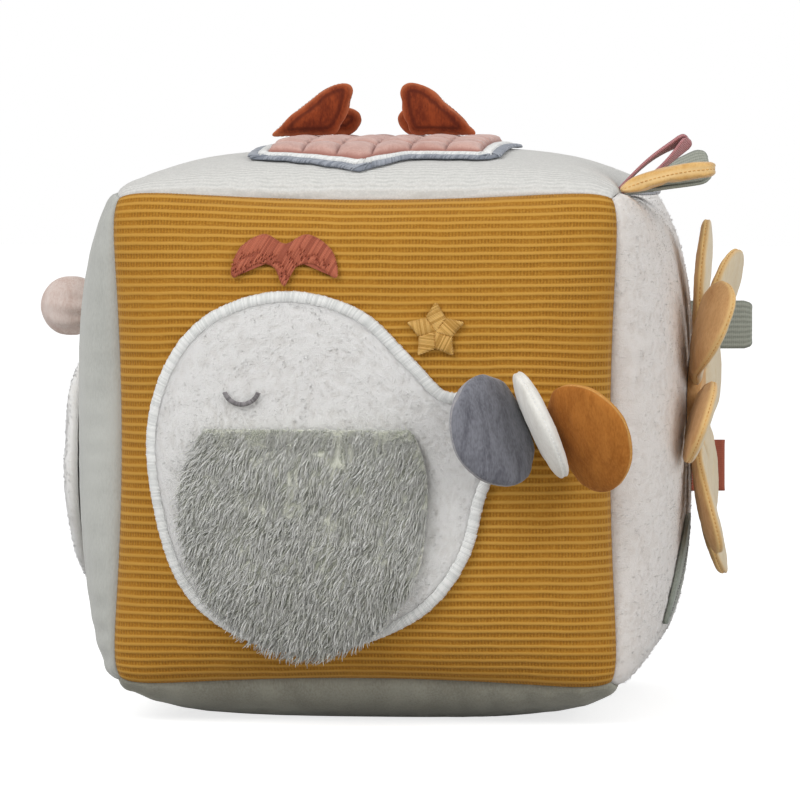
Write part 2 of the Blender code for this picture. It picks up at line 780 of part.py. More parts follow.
def quilt_outline(across, along):
    """Clockwise outline of the quilted patch, its front edge hanging in one point."""
    half_width = QUILT_WIDTH / 2
    half_depth = QUILT_DEPTH / 2
    steps = 20
    points = []
    for step in range(steps):
        points.append((across - half_width, along - half_depth + QUILT_DEPTH * step / steps))
    for step in range(steps):
        points.append((across - half_width + QUILT_WIDTH * step / steps, along + half_depth))
    for step in range(steps):
        points.append((across + half_width, along + half_depth - QUILT_DEPTH * step / steps))
    for step in range(steps):
        away = step / steps - BAND_POINT_SHARE
        reach = BAND_POINT_REACH_SHARES[0 if away < 0 else 1]
        drop = BAND_POINT_DROP * max(0.0, 1 - abs(away) / reach)
        points.append((across + half_width - QUILT_WIDTH * step / steps, along - half_depth - drop))
    return points


def add_ears(paint):
    seat = PATCH_LIFT + PIECE_GAP
    for name, side in (("left", 1), ("right", -1)):
        a, b = quilt_place(EAR_PLACES_SHARES[name])
        reach = EAR_HALF_SHARES[0][1] * EAR_WIDTH / 2
        place = on_face("top", a, b, seat + quilt_top(a, b, reach))
        way = face_normal("top", a, b) - Vector((0, 0.10, 0))
        slant = -side * math.tan(math.radians(EAR_SLANTS_DEG[name]))
        make_pad("ear_" + name, EAR_HALF_SHARES, EAR_LENGTH, EAR_WIDTH, EAR_THICKNESS,
                 paint["terracotta"], frame_at(place, way, Vector((0, -1, 0))), -12, 0.06, slant)
        a, b = quilt_place(LOBE_PLACES_SHARES[name])
        reach = ROUND_HALF_SHARES[0][1] * LOBE_WIDTH / 2
        place = on_face("top", a, b, seat + quilt_top(a, b, reach))
        way = face_normal("top", a, b) + Vector((0, 0.12, 0))
        slant = -side * math.tan(math.radians(LOBE_SLANT_DEG))
        make_pad("ear_lobe_" + name, ROUND_HALF_SHARES, LOBE_LENGTH, LOBE_WIDTH, LOBE_THICKNESS,
                 paint["terracotta"], frame_at(place, way, Vector((0, -1, 0))), 0, 0.0, slant)


def add_left(paint):
    outline = []
    steps = 28
    for step in range(steps):
        angle = 2 * math.pi * step / steps
        outline.append((SIDE_PATCH_WIDTH / 2 * math.sin(angle),
                        SIDE_PATCH_HEIGHT / 2 * math.cos(angle) - SIDE_PATCH_DROP))
    patch("side_fleece_patch", "left", outline, (0.0, -SIDE_PATCH_DROP), PATCH_LIFT,
          SIDE_PATCH_THICKNESS, paint["fleece"], edge_share=0.4)
    normal = face_normal("left", 0, NUB_RISE)
    place = on_face("left", 0, NUB_RISE, 0) + normal * PIECE_GAP
    profile = [(NUB_ROOT_RADIUS, 0.0)]
    arc = 7
    for step in range(arc):
        angle = math.radians(-20 + 96 * step / (arc - 1))
        reach = NUB_LENGTH - NUB_RADIUS
        profile.append((NUB_RADIUS * math.cos(angle),
                        reach * (0.75 if step == 0 else 1.0) + NUB_RADIUS * math.sin(angle)))
    points = [(0.0, 0.0, 0.0)]
    count = len(profile)
    for step in range(NUB_STEPS):
        angle = 2 * math.pi * step / NUB_STEPS
        points += [(z, r * math.cos(angle), r * math.sin(angle)) for r, z in profile]
    points.append((NUB_LENGTH, 0.0, 0.0))
    faces = []
    for step in range(NUB_STEPS):
        near = 1 + step * count
        far = 1 + ((step + 1) % NUB_STEPS) * count
        faces.append((0, near, far))
        for index in range(count - 1):
            faces.append((near + index, near + index + 1, far + index + 1, far + index))
        faces.append((near + count - 1, len(points) - 1, far + count - 1))
    frame = frame_at(place, normal, Vector((0, 0, 1)))
    add_solid("pink_nub", points, faces, paint["nub"], frame)


def add_flower(paint):
    steps = 24
    outline = []
    for step in range(steps):
        angle = 2 * math.pi * step / steps
        outline.append((FLOWER_RADIUS * math.sin(angle), FLOWER_RISE + FLOWER_RADIUS * math.cos(angle)))
    patch("flower_centre", "right", outline, (0.0, FLOWER_RISE), PATCH_LIFT, FLOWER_THICKNESS,
          paint["petal"], rings=3, edge_share=0.8)
    normal, right, up = FACES["right"]
    out = face_normal("right", 0, FLOWER_RISE)
    up = (up - out * up.dot(out)).normalized()
    middle = on_face("right", 0, FLOWER_RISE, PATCH_LIFT + FLOWER_THICKNESS * PETAL_SEAT_SHARE)
    lifts_deg = (2, -2, 6, 1, 2, 0, 1, 9)
    curls_deg = (4, 40, -2, 20, 16, 6, 6, 14)
    rolls_deg = (0, 0, -20, 0, 0, 0, 0, 0)
    for index in range(PETAL_COUNT):
        turn = math.radians(FIRST_PETAL_DEG + 360 * index / PETAL_COUNT)
        lift = math.radians(lifts_deg[index % len(lifts_deg)])
        flat = up * math.cos(turn) - right * math.sin(turn)
        place = middle + flat * (FLOWER_RADIUS + 2 * PIECE_GAP)
        way = flat * math.cos(lift) + out * math.sin(lift)
        roll = math.radians(rolls_deg[index % len(rolls_deg)])
        face_out = (out * math.cos(lift) - flat * math.sin(lift)) * math.cos(roll)
        face_out += flat.cross(out) * math.sin(roll)
        make_pad("petal_%d" % (index + 1), PETAL_HALF_SHARES, PETAL_LENGTH, PETAL_WIDTH,
                 PETAL_THICKNESS, paint["petal"], frame_at(place, way, face_out),
                 curls_deg[index % len(curls_deg)], 0.0)
    leaf_a, leaf_b = (share * HALF for share in LEAF_PLACE_SHARES)
    slant = math.radians(40)
    leaf = []
    for a, b in closed_curve(LEAF_SHARES, 2):
        a, b = a * LEAF_LENGTH, b * LEAF_WIDTH
        leaf.append((leaf_a + a * math.cos(slant) - b * math.sin(slant),
                     leaf_b + a * math.sin(slant) + b * math.cos(slant)))
    patch("sage_leaf_patch", "right", leaf, (leaf_a, leaf_b), PATCH_LIFT, LEAF_THICKNESS,
          paint["ribbon"], rings=3)


def add_tabs(paint):
    """Tabs in the top right seam, then those in the back right seam."""
    rim = PAD_RIM
    frame = seam_tab_frame("right", "top", TAB_PLACE_SHARES["yellow_tab"], rim, 23)
    make_pad("yellow_tab", STRAP_HALF_SHARES, YELLOW_TAB_LENGTH, YELLOW_TAB_WIDTH,
             YELLOW_TAB_THICKNESS, paint["yellow"], frame, -20, 0.0)
    stack = 2 * FOLD_RADIUS + RIBBON_THICKNESS
    frame = seam_tab_frame("right", "top", TAB_PLACE_SHARES["pink_ribbon_loop"], stack, 38)
    make_strip("pink_ribbon_loop", folded_path(LOOP_LENGTH, FOLD_RADIUS, LOOP_BULGE),
               RIBBON_THICKNESS, LOOP_WIDTH, paint["pink_ribbon"], frame)
    frame = seam_tab_frame("right", "top", TAB_PLACE_SHARES["corner_ribbon_tab"], stack, 18)
    make_strip("corner_ribbon_tab", folded_path(CORNER_RIBBON_LENGTH, FOLD_RADIUS, 0),
               RIBBON_THICKNESS, SIDE_RIBBON_WIDTH, paint["ribbon"], frame, 40)
    frame = seam_tab_frame("right", "top", TAB_PLACE_SHARES["pale_tab"], stack, 0)
    make_strip("pale_tab", folded_path(PALE_TAB_LENGTH, FOLD_RADIUS, 0),
               RIBBON_THICKNESS, PALE_TAB_WIDTH, paint["pale"], frame)
    frame = seam_tab_frame("right", "back", TAB_PLACE_SHARES["side_ribbon_tab"], stack, 10)
    make_strip("side_ribbon_tab", folded_path(SIDE_RIBBON_LENGTH, FOLD_RADIUS, 0),
               RIBBON_THICKNESS, SIDE_RIBBON_WIDTH, paint["ribbon"], frame)
    frame = seam_tab_frame("right", "back", TAB_PLACE_SHARES["terracotta_label"], stack, 12)
    make_strip("terracotta_label", folded_path(LABEL_LENGTH, FOLD_RADIUS, 0),
               RIBBON_THICKNESS, LABEL_WIDTH, paint["terracotta"], frame)


def paints():
    return {
        "ochre": fabric("ochre rib knit", (0.46, 0.24, 0.05)),
        "velour": fabric("sage velour", (0.50, 0.52, 0.48)),
        "teddy": fabric("teddy fleece", (0.66, 0.62, 0.59)),
        "cream": fabric("off-white fine rib", (0.72, 0.73, 0.70)),
        "filling": fabric("fibre filling", (0.85, 0.85, 0.83)),
        "plastic": fabric("rattle plastic", (0.75, 0.75, 0.75), 0.4),
        "fleece": fabric("white fleece", (0.67, 0.64, 0.61)),
        "satin": fabric("white satin stitch", (0.78, 0.81, 0.82), 0.5),
        "plush": fabric("sage plush", (0.44, 0.47, 0.42)),
        "rust": fabric("rust satin stitch", (0.42, 0.11, 0.07), 0.5),
        "gold": fabric("gold satin stitch", (0.68, 0.42, 0.10), 0.5),
        "blue_thread": fabric("grey-blue stitch", (0.28, 0.31, 0.36), 0.5),
        "grey_blue": fabric("grey-blue velour", (0.24, 0.25, 0.28)),
        "white": fabric("white velour", (0.76, 0.76, 0.72)),
        "brown": fabric("ochre-brown velour", (0.38, 0.13, 0.02)),
        "terracotta": fabric("terracotta velour", (0.38, 0.08, 0.03)),
        "pink": fabric("dusty-pink velour", (0.62, 0.37, 0.33)),
        "nub": fabric("pale-pink velour", (0.60, 0.46, 0.43)),
        "petal": fabric("peach velour", (0.72, 0.44, 0.18)),
        "ribbon": fabric("sage grosgrain", (0.30, 0.34, 0.27)),
        "pink_ribbon": fabric("pink ribbon", (0.38, 0.15, 0.15)),
        "pale": fabric("pale grey tape", (0.62, 0.63, 0.66)),
        "yellow": fabric("yellow velour", (0.74, 0.46, 0.15)),
    }


def build():
    clear_scene()
    paint = paints()
    add_body(paint)
    add_front(paint)
    add_tail_pads(paint)
    add_top(paint)
    add_ears(paint)
    add_left(paint)
    add_flower(paint)
    add_tabs(paint)


build()
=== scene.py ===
# %% [markdown]
# # A soft fabric activity block, dressed
# The real thing is a baby's activity block: six fabric panels sewn into a cube, stuffed with fibre, with
# sewn-on pads, petals, ribbons and a lift flap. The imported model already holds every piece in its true
# place and size. This lesson loads it as a fixed frame and dresses each piece in cloth that can be seen
# up close: ribs, pile, stitches and seams.

# %% Load the frame
import json
import math

import bmesh
import bpy
import numpy as np
from mathutils import Matrix, Vector

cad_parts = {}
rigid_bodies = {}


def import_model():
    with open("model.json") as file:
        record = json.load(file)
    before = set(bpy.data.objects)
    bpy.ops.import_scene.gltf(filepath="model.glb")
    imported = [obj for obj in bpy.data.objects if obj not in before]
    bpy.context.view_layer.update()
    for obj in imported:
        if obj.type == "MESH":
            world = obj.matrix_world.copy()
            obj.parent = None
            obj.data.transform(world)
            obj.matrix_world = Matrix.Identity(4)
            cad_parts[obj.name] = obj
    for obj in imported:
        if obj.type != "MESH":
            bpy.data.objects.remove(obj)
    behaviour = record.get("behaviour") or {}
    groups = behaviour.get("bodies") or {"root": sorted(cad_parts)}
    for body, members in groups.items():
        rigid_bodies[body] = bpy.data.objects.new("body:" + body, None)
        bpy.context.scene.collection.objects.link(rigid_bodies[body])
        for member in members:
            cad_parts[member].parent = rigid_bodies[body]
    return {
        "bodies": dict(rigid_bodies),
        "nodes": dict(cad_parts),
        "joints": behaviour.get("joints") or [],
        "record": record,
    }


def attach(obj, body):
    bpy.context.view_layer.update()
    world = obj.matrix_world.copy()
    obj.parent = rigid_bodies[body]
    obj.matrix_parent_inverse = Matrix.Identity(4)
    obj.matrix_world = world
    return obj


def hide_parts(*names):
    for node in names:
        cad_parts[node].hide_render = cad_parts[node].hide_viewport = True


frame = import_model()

MM = 0.001
scene = bpy.context.scene
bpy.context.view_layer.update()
carrier = {}
for body_name, members in frame["record"]["behaviour"]["bodies"].items():
    for member in members:
        carrier[member] = body_name

# %% [markdown]
# ## A few small helpers
# Materials, the sky and Geometry Nodes are all trees of nodes, and every node is added in the same way: its
# kind, its settings, and a value or a link for each input that matters. Points are handled as whole arrays,
# because a loop over a hundred thousand of them would be slow.

# %% Helpers for nodes and arrays
def feed(tree, value, socket):
    """Joins a value that comes from another node, or fills the socket with a plain one."""
    if isinstance(value, bpy.types.NodeSocket):
        tree.links.new(value, socket)
    else:
        socket.default_value = value


def linked(tree, kind, values=None, **settings):
    """Adds a node, sets its settings and joins or fills its inputs by name or number."""
    node = tree.nodes.new(kind)
    for key, value in settings.items():
        setattr(node, key, value)
    for key, value in (values or {}).items():
        feed(tree, value, node.inputs[key])
    return node


def placed(name, data):
    """A new object in the scene."""
    piece = bpy.data.objects.new(name, data)
    scene.collection.objects.link(piece)
    return piece


def joined(*parts):
    """Arrays and single numbers set side by side, as the coordinates of points."""
    return np.stack(np.broadcast_arrays(*parts), -1)


def unit(vectors):
    return vectors / np.linalg.norm(vectors, axis=-1, keepdims=True)


# %% [markdown]
# ## The camera
# A product photograph is taken from far off with a long lens, so the block looks almost flat-on. The
# camera could be turned and shifted by hand. Instead it stands on a line through the block's middle, and
# aims a little to the side, which puts the block where the picture has it without any lens shift.

# %% Camera
PICTURE_PX = 800
CAMERA_AZIMUTH_DEG = 6.0
CAMERA_ELEVATION_DEG = 3.0
CAMERA_DISTANCE = 1.85
PX_PER_METRE = 3300
AIM_RIGHT = 2.85 * MM
AIM_UP = 8.03 * MM
SENSOR_WIDTH = 36.0

CUBE_SIDE = 0.150
HALF = CUBE_SIDE / 2
BOTTOM_CROWN = 0.0125
REST_FLAT_DEPTH = 0.0022
SETTLE_SHARE = 0.975
PIECE_GAP = 0.0003
SEAM_SHIFT = PIECE_GAP / math.sqrt(2)
MIDDLE = Vector((0, 0, (HALF + BOTTOM_CROWN - REST_FLAT_DEPTH) * SETTLE_SHARE + SEAM_SHIFT))

azimuth = math.radians(CAMERA_AZIMUTH_DEG)
elevation = math.radians(CAMERA_ELEVATION_DEG)
back = Vector((math.sin(azimuth) * math.cos(elevation),
               -math.cos(azimuth) * math.cos(elevation), math.sin(elevation)))
lens = bpy.data.cameras.new("camera")
lens.sensor_width = SENSOR_WIDTH
lens.lens = PX_PER_METRE * SENSOR_WIDTH * CAMERA_DISTANCE / PICTURE_PX
lens.clip_start = 0.05
lens.clip_end = 20
camera = placed("camera", lens)
scene.camera = camera
camera.location = MIDDLE + back * CAMERA_DISTANCE
camera_right = Vector((math.cos(azimuth), math.sin(azimuth), 0))
camera_up = back.cross(camera_right)
aim = MIDDLE + camera_right * AIM_RIGHT + camera_up * AIM_UP
camera.rotation_euler = (aim - camera.location).to_track_quat("-Z", "Y").to_euler()
print("camera: lens", round(lens.lens), "mm at", CAMERA_DISTANCE, "m")

# %% [markdown]
# ## Floor and light
# The picture has a plain white ground and even light with hardly a shadow. A tent of light could copy
# that, but a large soft lamp at the upper left, a weaker one at the right and a pale sky keep the folds
# readable. The floor and the sky look pure white to the camera alone, through Light Path, so they don't
# flood the cloth with light. The floor still takes the block's shadow.

# %% Floor, sky and lamps
SKY_STRENGTH = 0.58
KEY_POWER = 11.0
SIDE_POWER = 5.0
FLOOR_WHITE = 0.50
FLOOR_GLOW = 0.75
FLOOR_SIZE = 8
KEY_PLACE = (-0.75, -1.05, 1.10)
KEY_SIZE = 0.9
SIDE_PLACE = (1.10, -0.85, 0.55)
SIDE_SIZE = 0.8


def seen_directly(tree):
    """One for the camera and for reflections, nothing for the light that falls on the cloth."""
    rays = linked(tree, "ShaderNodeLightPath").outputs
    return linked(tree, "ShaderNodeMath", {0: rays["Is Camera Ray"], 1: rays["Is Glossy Ray"]},
                  operation="MAXIMUM").outputs[0]


def floor_material():
    material = bpy.data.materials.new("studio_floor")
    material.use_nodes = True
    tree = material.node_tree
    glow = linked(tree, "ShaderNodeMath", {0: seen_directly(tree), 1: FLOOR_GLOW}, operation="MULTIPLY")
    shader = tree.nodes["Principled BSDF"]
    for name, value in (("Base Color", (FLOOR_WHITE, FLOOR_WHITE, FLOOR_WHITE, 1)), ("Roughness", 1.0),
                        ("Emission Color", (1, 1, 1, 1)), ("Emission Strength", glow.outputs[0])):
        feed(tree, value, shader.inputs[name])
    return material


def studio_sky():
    world = bpy.data.worlds.new("studio_sky")
    world.use_nodes = True
    tree = world.node_tree
    level = linked(tree, "ShaderNodeMapRange",
                   {"Value": seen_directly(tree), "To Min": SKY_STRENGTH, "To Max": 1.0})
    background = tree.nodes["Background"]
    feed(tree, (1, 1, 1, 1), background.inputs["Color"])
    feed(tree, level.outputs["Result"], background.inputs["Strength"])
    scene.world = world


def soft_lamp(name, place, size, power):
    lamp = bpy.data.lights.new(name, "AREA")
    lamp.shape = "RECTANGLE"
    lamp.size = lamp.size_y = size
    lamp.energy = power
    holder = placed(name, lamp)
    holder.location = place
    holder.rotation_euler = (MIDDLE - Vector(place)).to_track_quat("-Z", "Y").to_euler()


bpy.ops.mesh.primitive_plane_add(size=FLOOR_SIZE, location=(0, FLOOR_SIZE / 4, 0))
studio_floor = bpy.context.object
studio_floor.name = "studio_floor"
studio_floor.data.materials.append(floor_material())
studio_sky()
soft_lamp("key_lamp", KEY_PLACE, KEY_SIZE, KEY_POWER)
soft_lamp("side_lamp", SIDE_PLACE, SIDE_SIZE, SIDE_POWER)
scene.view_settings.view_transform = "Standard"
print("light: sky", SKY_STRENGTH, "key", KEY_POWER, "W, side", SIDE_POWER, "W")

# %% [markdown]
# ## The crowned surface
# Six flat squares sewn into a cube and stuffed swell between their seams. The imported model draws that
# with a short formula, and the cloth has to lie exactly there, so the same formula is written again for
# whole arrays of points at once. A patch sewn on a panel is then placed by two lengths on that panel and
# a lift off it.

# %% Surface of the block
CROWNS = {"front": 0.0150, "back": 0.0150, "right": 0.0150, "left": 0.0150, "top": 0.0115,
          "bottom": BOTTOM_CROWN}
SEAM_PULL = 0.0034
CORNER_PULL = 0.0030
CROWN_SQUARENESS = 3.0
CROWN_STEEPNESS = 0.55
SEAM_REACH = 8
CORNER_REACH = 10
FACES = {
    "front": ((0, -1, 0), (1, 0, 0), (0, 0, 1)),
    "back": ((0, 1, 0), (-1, 0, 0), (0, 0, 1)),
    "right": ((1, 0, 0), (0, 1, 0), (0, 0, 1)),
    "left": ((-1, 0, 0), (0, -1, 0), (0, 0, 1)),
    "top": ((0, 0, 1), (1, 0, 0), (0, 1, 0)),
    "bottom": ((0, 0, -1), (1, 0, 0), (0, -1, 0)),
}


def fullness(share):
    return np.maximum(0.0, 1.0 - np.abs(share) ** CROWN_SQUARENESS) ** CROWN_STEEPNESS


def plain_surface(face, a, b):
    """Points of the formula's surface, from lengths a and b measured from the panel's middle."""
    normal, right, up = (np.array(axis, float) for axis in FACES[face])
    u = np.clip(np.asarray(a, float) / HALF, -1, 1)
    v = np.clip(np.asarray(b, float) / HALF, -1, 1)
    draw_u = np.abs(u) ** SEAM_REACH * (1 - v * v)
    draw_v = np.abs(v) ** SEAM_REACH * (1 - u * u)
    across = HALF * u - np.sign(u) * SEAM_PULL * draw_u
    along = HALF * v - np.sign(v) * SEAM_PULL * draw_v
    height = HALF - SEAM_PULL * (draw_u + draw_v) + CROWNS[face] * fullness(u) * fullness(v)
    if face == "bottom":
        height = np.minimum(height, HALF + BOTTOM_CROWN - REST_FLAT_DEPTH)
    corner = CORNER_PULL * np.minimum(1, np.abs(across * along / HALF ** 2)) ** CORNER_REACH
    across = across - np.sign(u) * corner
    along = along - np.sign(v) * corner
    height = height - corner
    points = height[..., None] * normal + across[..., None] * right + along[..., None] * up
    points[..., 2] *= SETTLE_SHARE
    return points + np.array(MIDDLE) + SEAM_SHIFT * normal


# %% [markdown]
# ## Noise that never changes
# Cloth needs unevenness: lumps of filling, puckers, curls of pile. Blender has noise functions for one
# point at a time, which is slow for a hundred thousand points, so this cell writes a small lattice noise
# for whole arrays. Its numbers come from a fixed hash, so each run gives the same cloth.

# %% Lattice noise
HASH_STEPS = (374761393, 668265263, 2147483647)
HASH_SEED_STEP = 974634777
HASH_MIX = 1274126177


def lattice_hash(corner, seed):
    mixed = (corner * np.array(HASH_STEPS)).sum(axis=-1)
    mixed = (mixed + seed * HASH_SEED_STEP) & 0xFFFFFFFF
    mixed = ((mixed ^ (mixed >> 13)) * HASH_MIX) & 0xFFFFFFFF
    return ((mixed ^ (mixed >> 16)) & 0xFFFF) / 32767.5 - 1


def cloud(points, size, seed=1):
    """Smooth noise from -1 to 1 whose lumps are about size across."""
    scaled = np.asarray(points, float) / size + 100.0
    base = np.floor(scaled).astype(np.int64)
    part = scaled - base
    part = part * part * (3 - 2 * part)
    total = 0.0
    for i in (0, 1):
        for j in (0, 1):
            for k in (0, 1):
                weight = (np.where(i, part[..., 0], 1 - part[..., 0])
                          * np.where(j, part[..., 1], 1 - part[..., 1])
                          * np.where(k, part[..., 2], 1 - part[..., 2]))
                total = total + weight * lattice_hash(base + np.array((i, j, k)), seed)
    return total


print("noise check:", round(float(cloud(np.array([[0.01, 0.02, 0.03]]), 0.01)[0]), 4))

# %% [markdown]
# ## Puckers and lumps
# A sewn panel isn't smooth. Close to each seam the thread gathers the cloth into short puckers that run
# straight away from the seam, and further in the filling leaves broad soft lumps. Both are added to the
# formula as small moves along the panel's outward direction, and both fade to nothing on the seam itself,
# where the neighbour panel has to meet.

# %% Real surface
PUCKER_DEPTH = {"front": 0.45 * MM, "back": 0.8 * MM, "right": 0.3 * MM, "left": 0.8 * MM,
                "top": 0.55 * MM, "bottom": 1.0 * MM}
PUCKER_PITCH = 9.0 * MM
PUCKER_LENGTH = 11.0 * MM
PUCKER_DRIFT_SIZE = 16.0 * MM
PUCKER_GROUP_SIZE = 21.0 * MM
LUMP_DEPTH = 0.7 * MM
LUMP_SIZE = 38.0 * MM
SEAM_FADE = 3.0 * MM
SEAM_LAP = 0.8 * MM


def seam_distance(a, b):
    return np.minimum(HALF - np.abs(a), HALF - np.abs(b))


def seam_puckers(face, a, b):
    total = np.zeros_like(a)
    for order, (near, run) in enumerate(((a, b), (b, a))):
        for side in (-1, 1):
            away = HALF - side * near
            drift = cloud(joined(run, side * 0.1, away * 0.3), PUCKER_DRIFT_SIZE, 7)
            wave = np.sin(2 * math.pi * run / PUCKER_PITCH + 3.2 * drift + order + side)
            grown = 0.5 + 0.5 * cloud(joined(run, 0, side), PUCKER_GROUP_SIZE, 5 + order)
            total += wave * grown * np.exp(-away / PUCKER_LENGTH) * np.minimum(1, away / SEAM_FADE)
    return PUCKER_DEPTH[face] * total


def cloth_surface(face, a, b, lift=0.0):
    """Points of the panel's real surface, puckers and lumps included, lifted off it by lift."""
    a = np.asarray(a, float)
    b = np.asarray(b, float)
    points = plain_surface(face, a, b)
    edge = seam_distance(a, b)
    fade = np.clip(edge / (4 * SEAM_FADE), 0, 1)
    swell = LUMP_DEPTH * cloud(points, LUMP_SIZE, 3) * fade
    swell = swell + seam_puckers(face, a, b)
    if face == "bottom":
        swell = swell * np.clip(points[..., 2] / (2 * MM), 0, 1)
    swell = swell - SEAM_SHIFT * np.clip(1 - edge / SEAM_LAP, 0, 1)
    normal = np.array(FACES[face][0], float)
    return points + (swell + lift)[..., None] * normal


def cloth_normals(face, a, b):
    step = 0.4 * MM
    side = cloth_surface(face, a + step, b) - cloth_surface(face, a - step, b)
    rise = cloth_surface(face, a, b + step) - cloth_surface(face, a, b - step)
    return unit(np.cross(side, rise))


top_point = cloth_surface("top", np.zeros(1), np.zeros(1))[0]
print("top of the crown at", round(float(top_point[2]) * 1000, 1), "mm")

# %% [markdown]
# ## Making and finishing a piece
# Every piece ends the same way: it is a plain mesh in its true place, it has a cloth material, it rides
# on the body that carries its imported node, and the main piece of a node stands for that node. One short
# function does this, so that no piece is forgotten. Panels and ribbons carry a UV map in metres of cloth,
# because ribs and weaves follow the cloth and not the room.

# %% Piece helpers
MERGE_DISTANCE = 0.02 * MM


def new_piece(name, points, faces, uv=None):
    """A smooth mesh; a UV map given for one sheet is used for its like sheet too."""
    mesh = bpy.data.meshes.new(name)
    mesh.from_pydata([tuple(p) for p in points], [], faces)
    if uv is not None:
        uv = np.resize(np.asarray(uv, np.float32), (len(points), 2))
        corners = np.zeros(len(mesh.loops), np.int32)
        mesh.loops.foreach_get("vertex_index", corners)
        mesh.uv_layers.new(name="cloth").data.foreach_set("uv", uv[corners].ravel())
    mesh.shade_smooth()
    mesh.update()
    return placed(name, mesh)


def triangles(piece):
    return sum(len(p.vertices) - 2 for p in piece.data.polygons)


def numbers(parts, name, width=3):
    """A value of each vertex or attribute entry: vectors as rows, or plain numbers at width 1."""
    flat = np.empty(len(parts) * width)
    parts.foreach_get(name, flat)
    return flat.reshape(-1, width) if width > 1 else flat


def store_attribute(piece, name, values):
    """Notes a number or a vector for each point of a piece."""
    values = np.asarray(values, np.float32)
    kind, field = ("FLOAT", "value") if values.ndim == 1 else ("FLOAT_VECTOR", "vector")
    piece.data.attributes.new(name, kind, "POINT").data.foreach_set(field, values.ravel())


def reworked(mesh, work):
    """Opens a mesh for work on its faces and puts the result back."""
    shape = bmesh.new()
    shape.from_mesh(mesh)
    work(shape)
    shape.to_mesh(mesh)
    shape.free()


def outwards(shape):
    bmesh.ops.recalc_face_normals(shape, faces=shape.faces[:])


def face_outwards(piece):
    reworked(piece.data, outwards)


def merged(shape):
    bmesh.ops.remove_doubles(shape, verts=shape.verts[:], dist=MERGE_DISTANCE)
    outwards(shape)


def finish_piece(piece, material, node, stands_for=True):
    """Gives a piece its cloth and its body, and hides the imported node that it stands for."""
    if material is not None:
        piece.data.materials.clear()
        piece.data.materials.append(material)
    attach(piece, carrier[node])
    if stands_for:
        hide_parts(node)
    print("  %-26s %6d triangles on %s" % (piece.name, triangles(piece), carrier[node]))
    return piece


def node_copy(node, name):
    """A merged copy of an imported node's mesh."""
    mesh = frame["nodes"][node].data.copy()
    mesh.name = name
    reworked(mesh, merged)
    if "custom_normal" in mesh.attributes:
        mesh.attributes.remove(mesh.attributes["custom_normal"])
    mesh.shade_smooth()
    return placed(name, mesh)


def baked(piece):
    """Replaces a piece's mesh by what its modifiers make of it, and removes them."""
    graph = bpy.context.evaluated_depsgraph_get()
    graph.update()
    mesh = bpy.data.meshes.new_from_object(piece.evaluated_get(graph))
    piece.modifiers.clear()
    piece.data = mesh
    return piece


def sheet_grid(columns, rows):
    """Faces of a closed shell made of two like grids, one over the other, joined at the rim."""
    faces = []
    row = columns + 1
    sheet = row * (rows + 1)
    for j in range(rows):
        for i in range(columns):
            at = j * row + i
            faces.append((at, at + 1, at + row + 1, at + row))
            faces.append((sheet + at, sheet + at + row, sheet + at + row + 1, sheet + at + 1))
    rim = list(range(row))
    rim += [j * row + columns for j in range(1, rows + 1)]
    rim += [rows * row + i for i in range(columns - 1, -1, -1)]
    rim += [j * row for j in range(rows - 1, 0, -1)]
    for index, at in enumerate(rim):
        after = rim[(index + 1) % len(rim)]
        faces.append((at, sheet + at, sheet + after, after))
    return faces


# %% [markdown]
# ## Cloth materials
# All the cloth here is matt, so what tells one from another is its pile and thread: how the colour
# breaks up, how the edge catches light, and the small relief. Image textures could show that, but they
# fix one resolution and one place. These materials are built from nodes on the object's own coordinates,
# in metres, so a pile of a third of a millimetre stays that size on every piece.

# %% Material helpers
def linear(hex_colour):
    """A colour written as in a paint chart, turned to the numbers that Blender uses."""
    values = [int(hex_colour[i:i + 2], 16) / 255 for i in (1, 3, 5)]
    return tuple(v / 12.92 if v <= 0.04045 else ((v + 0.055) / 1.055) ** 2.4 for v in values) + (1.0,)


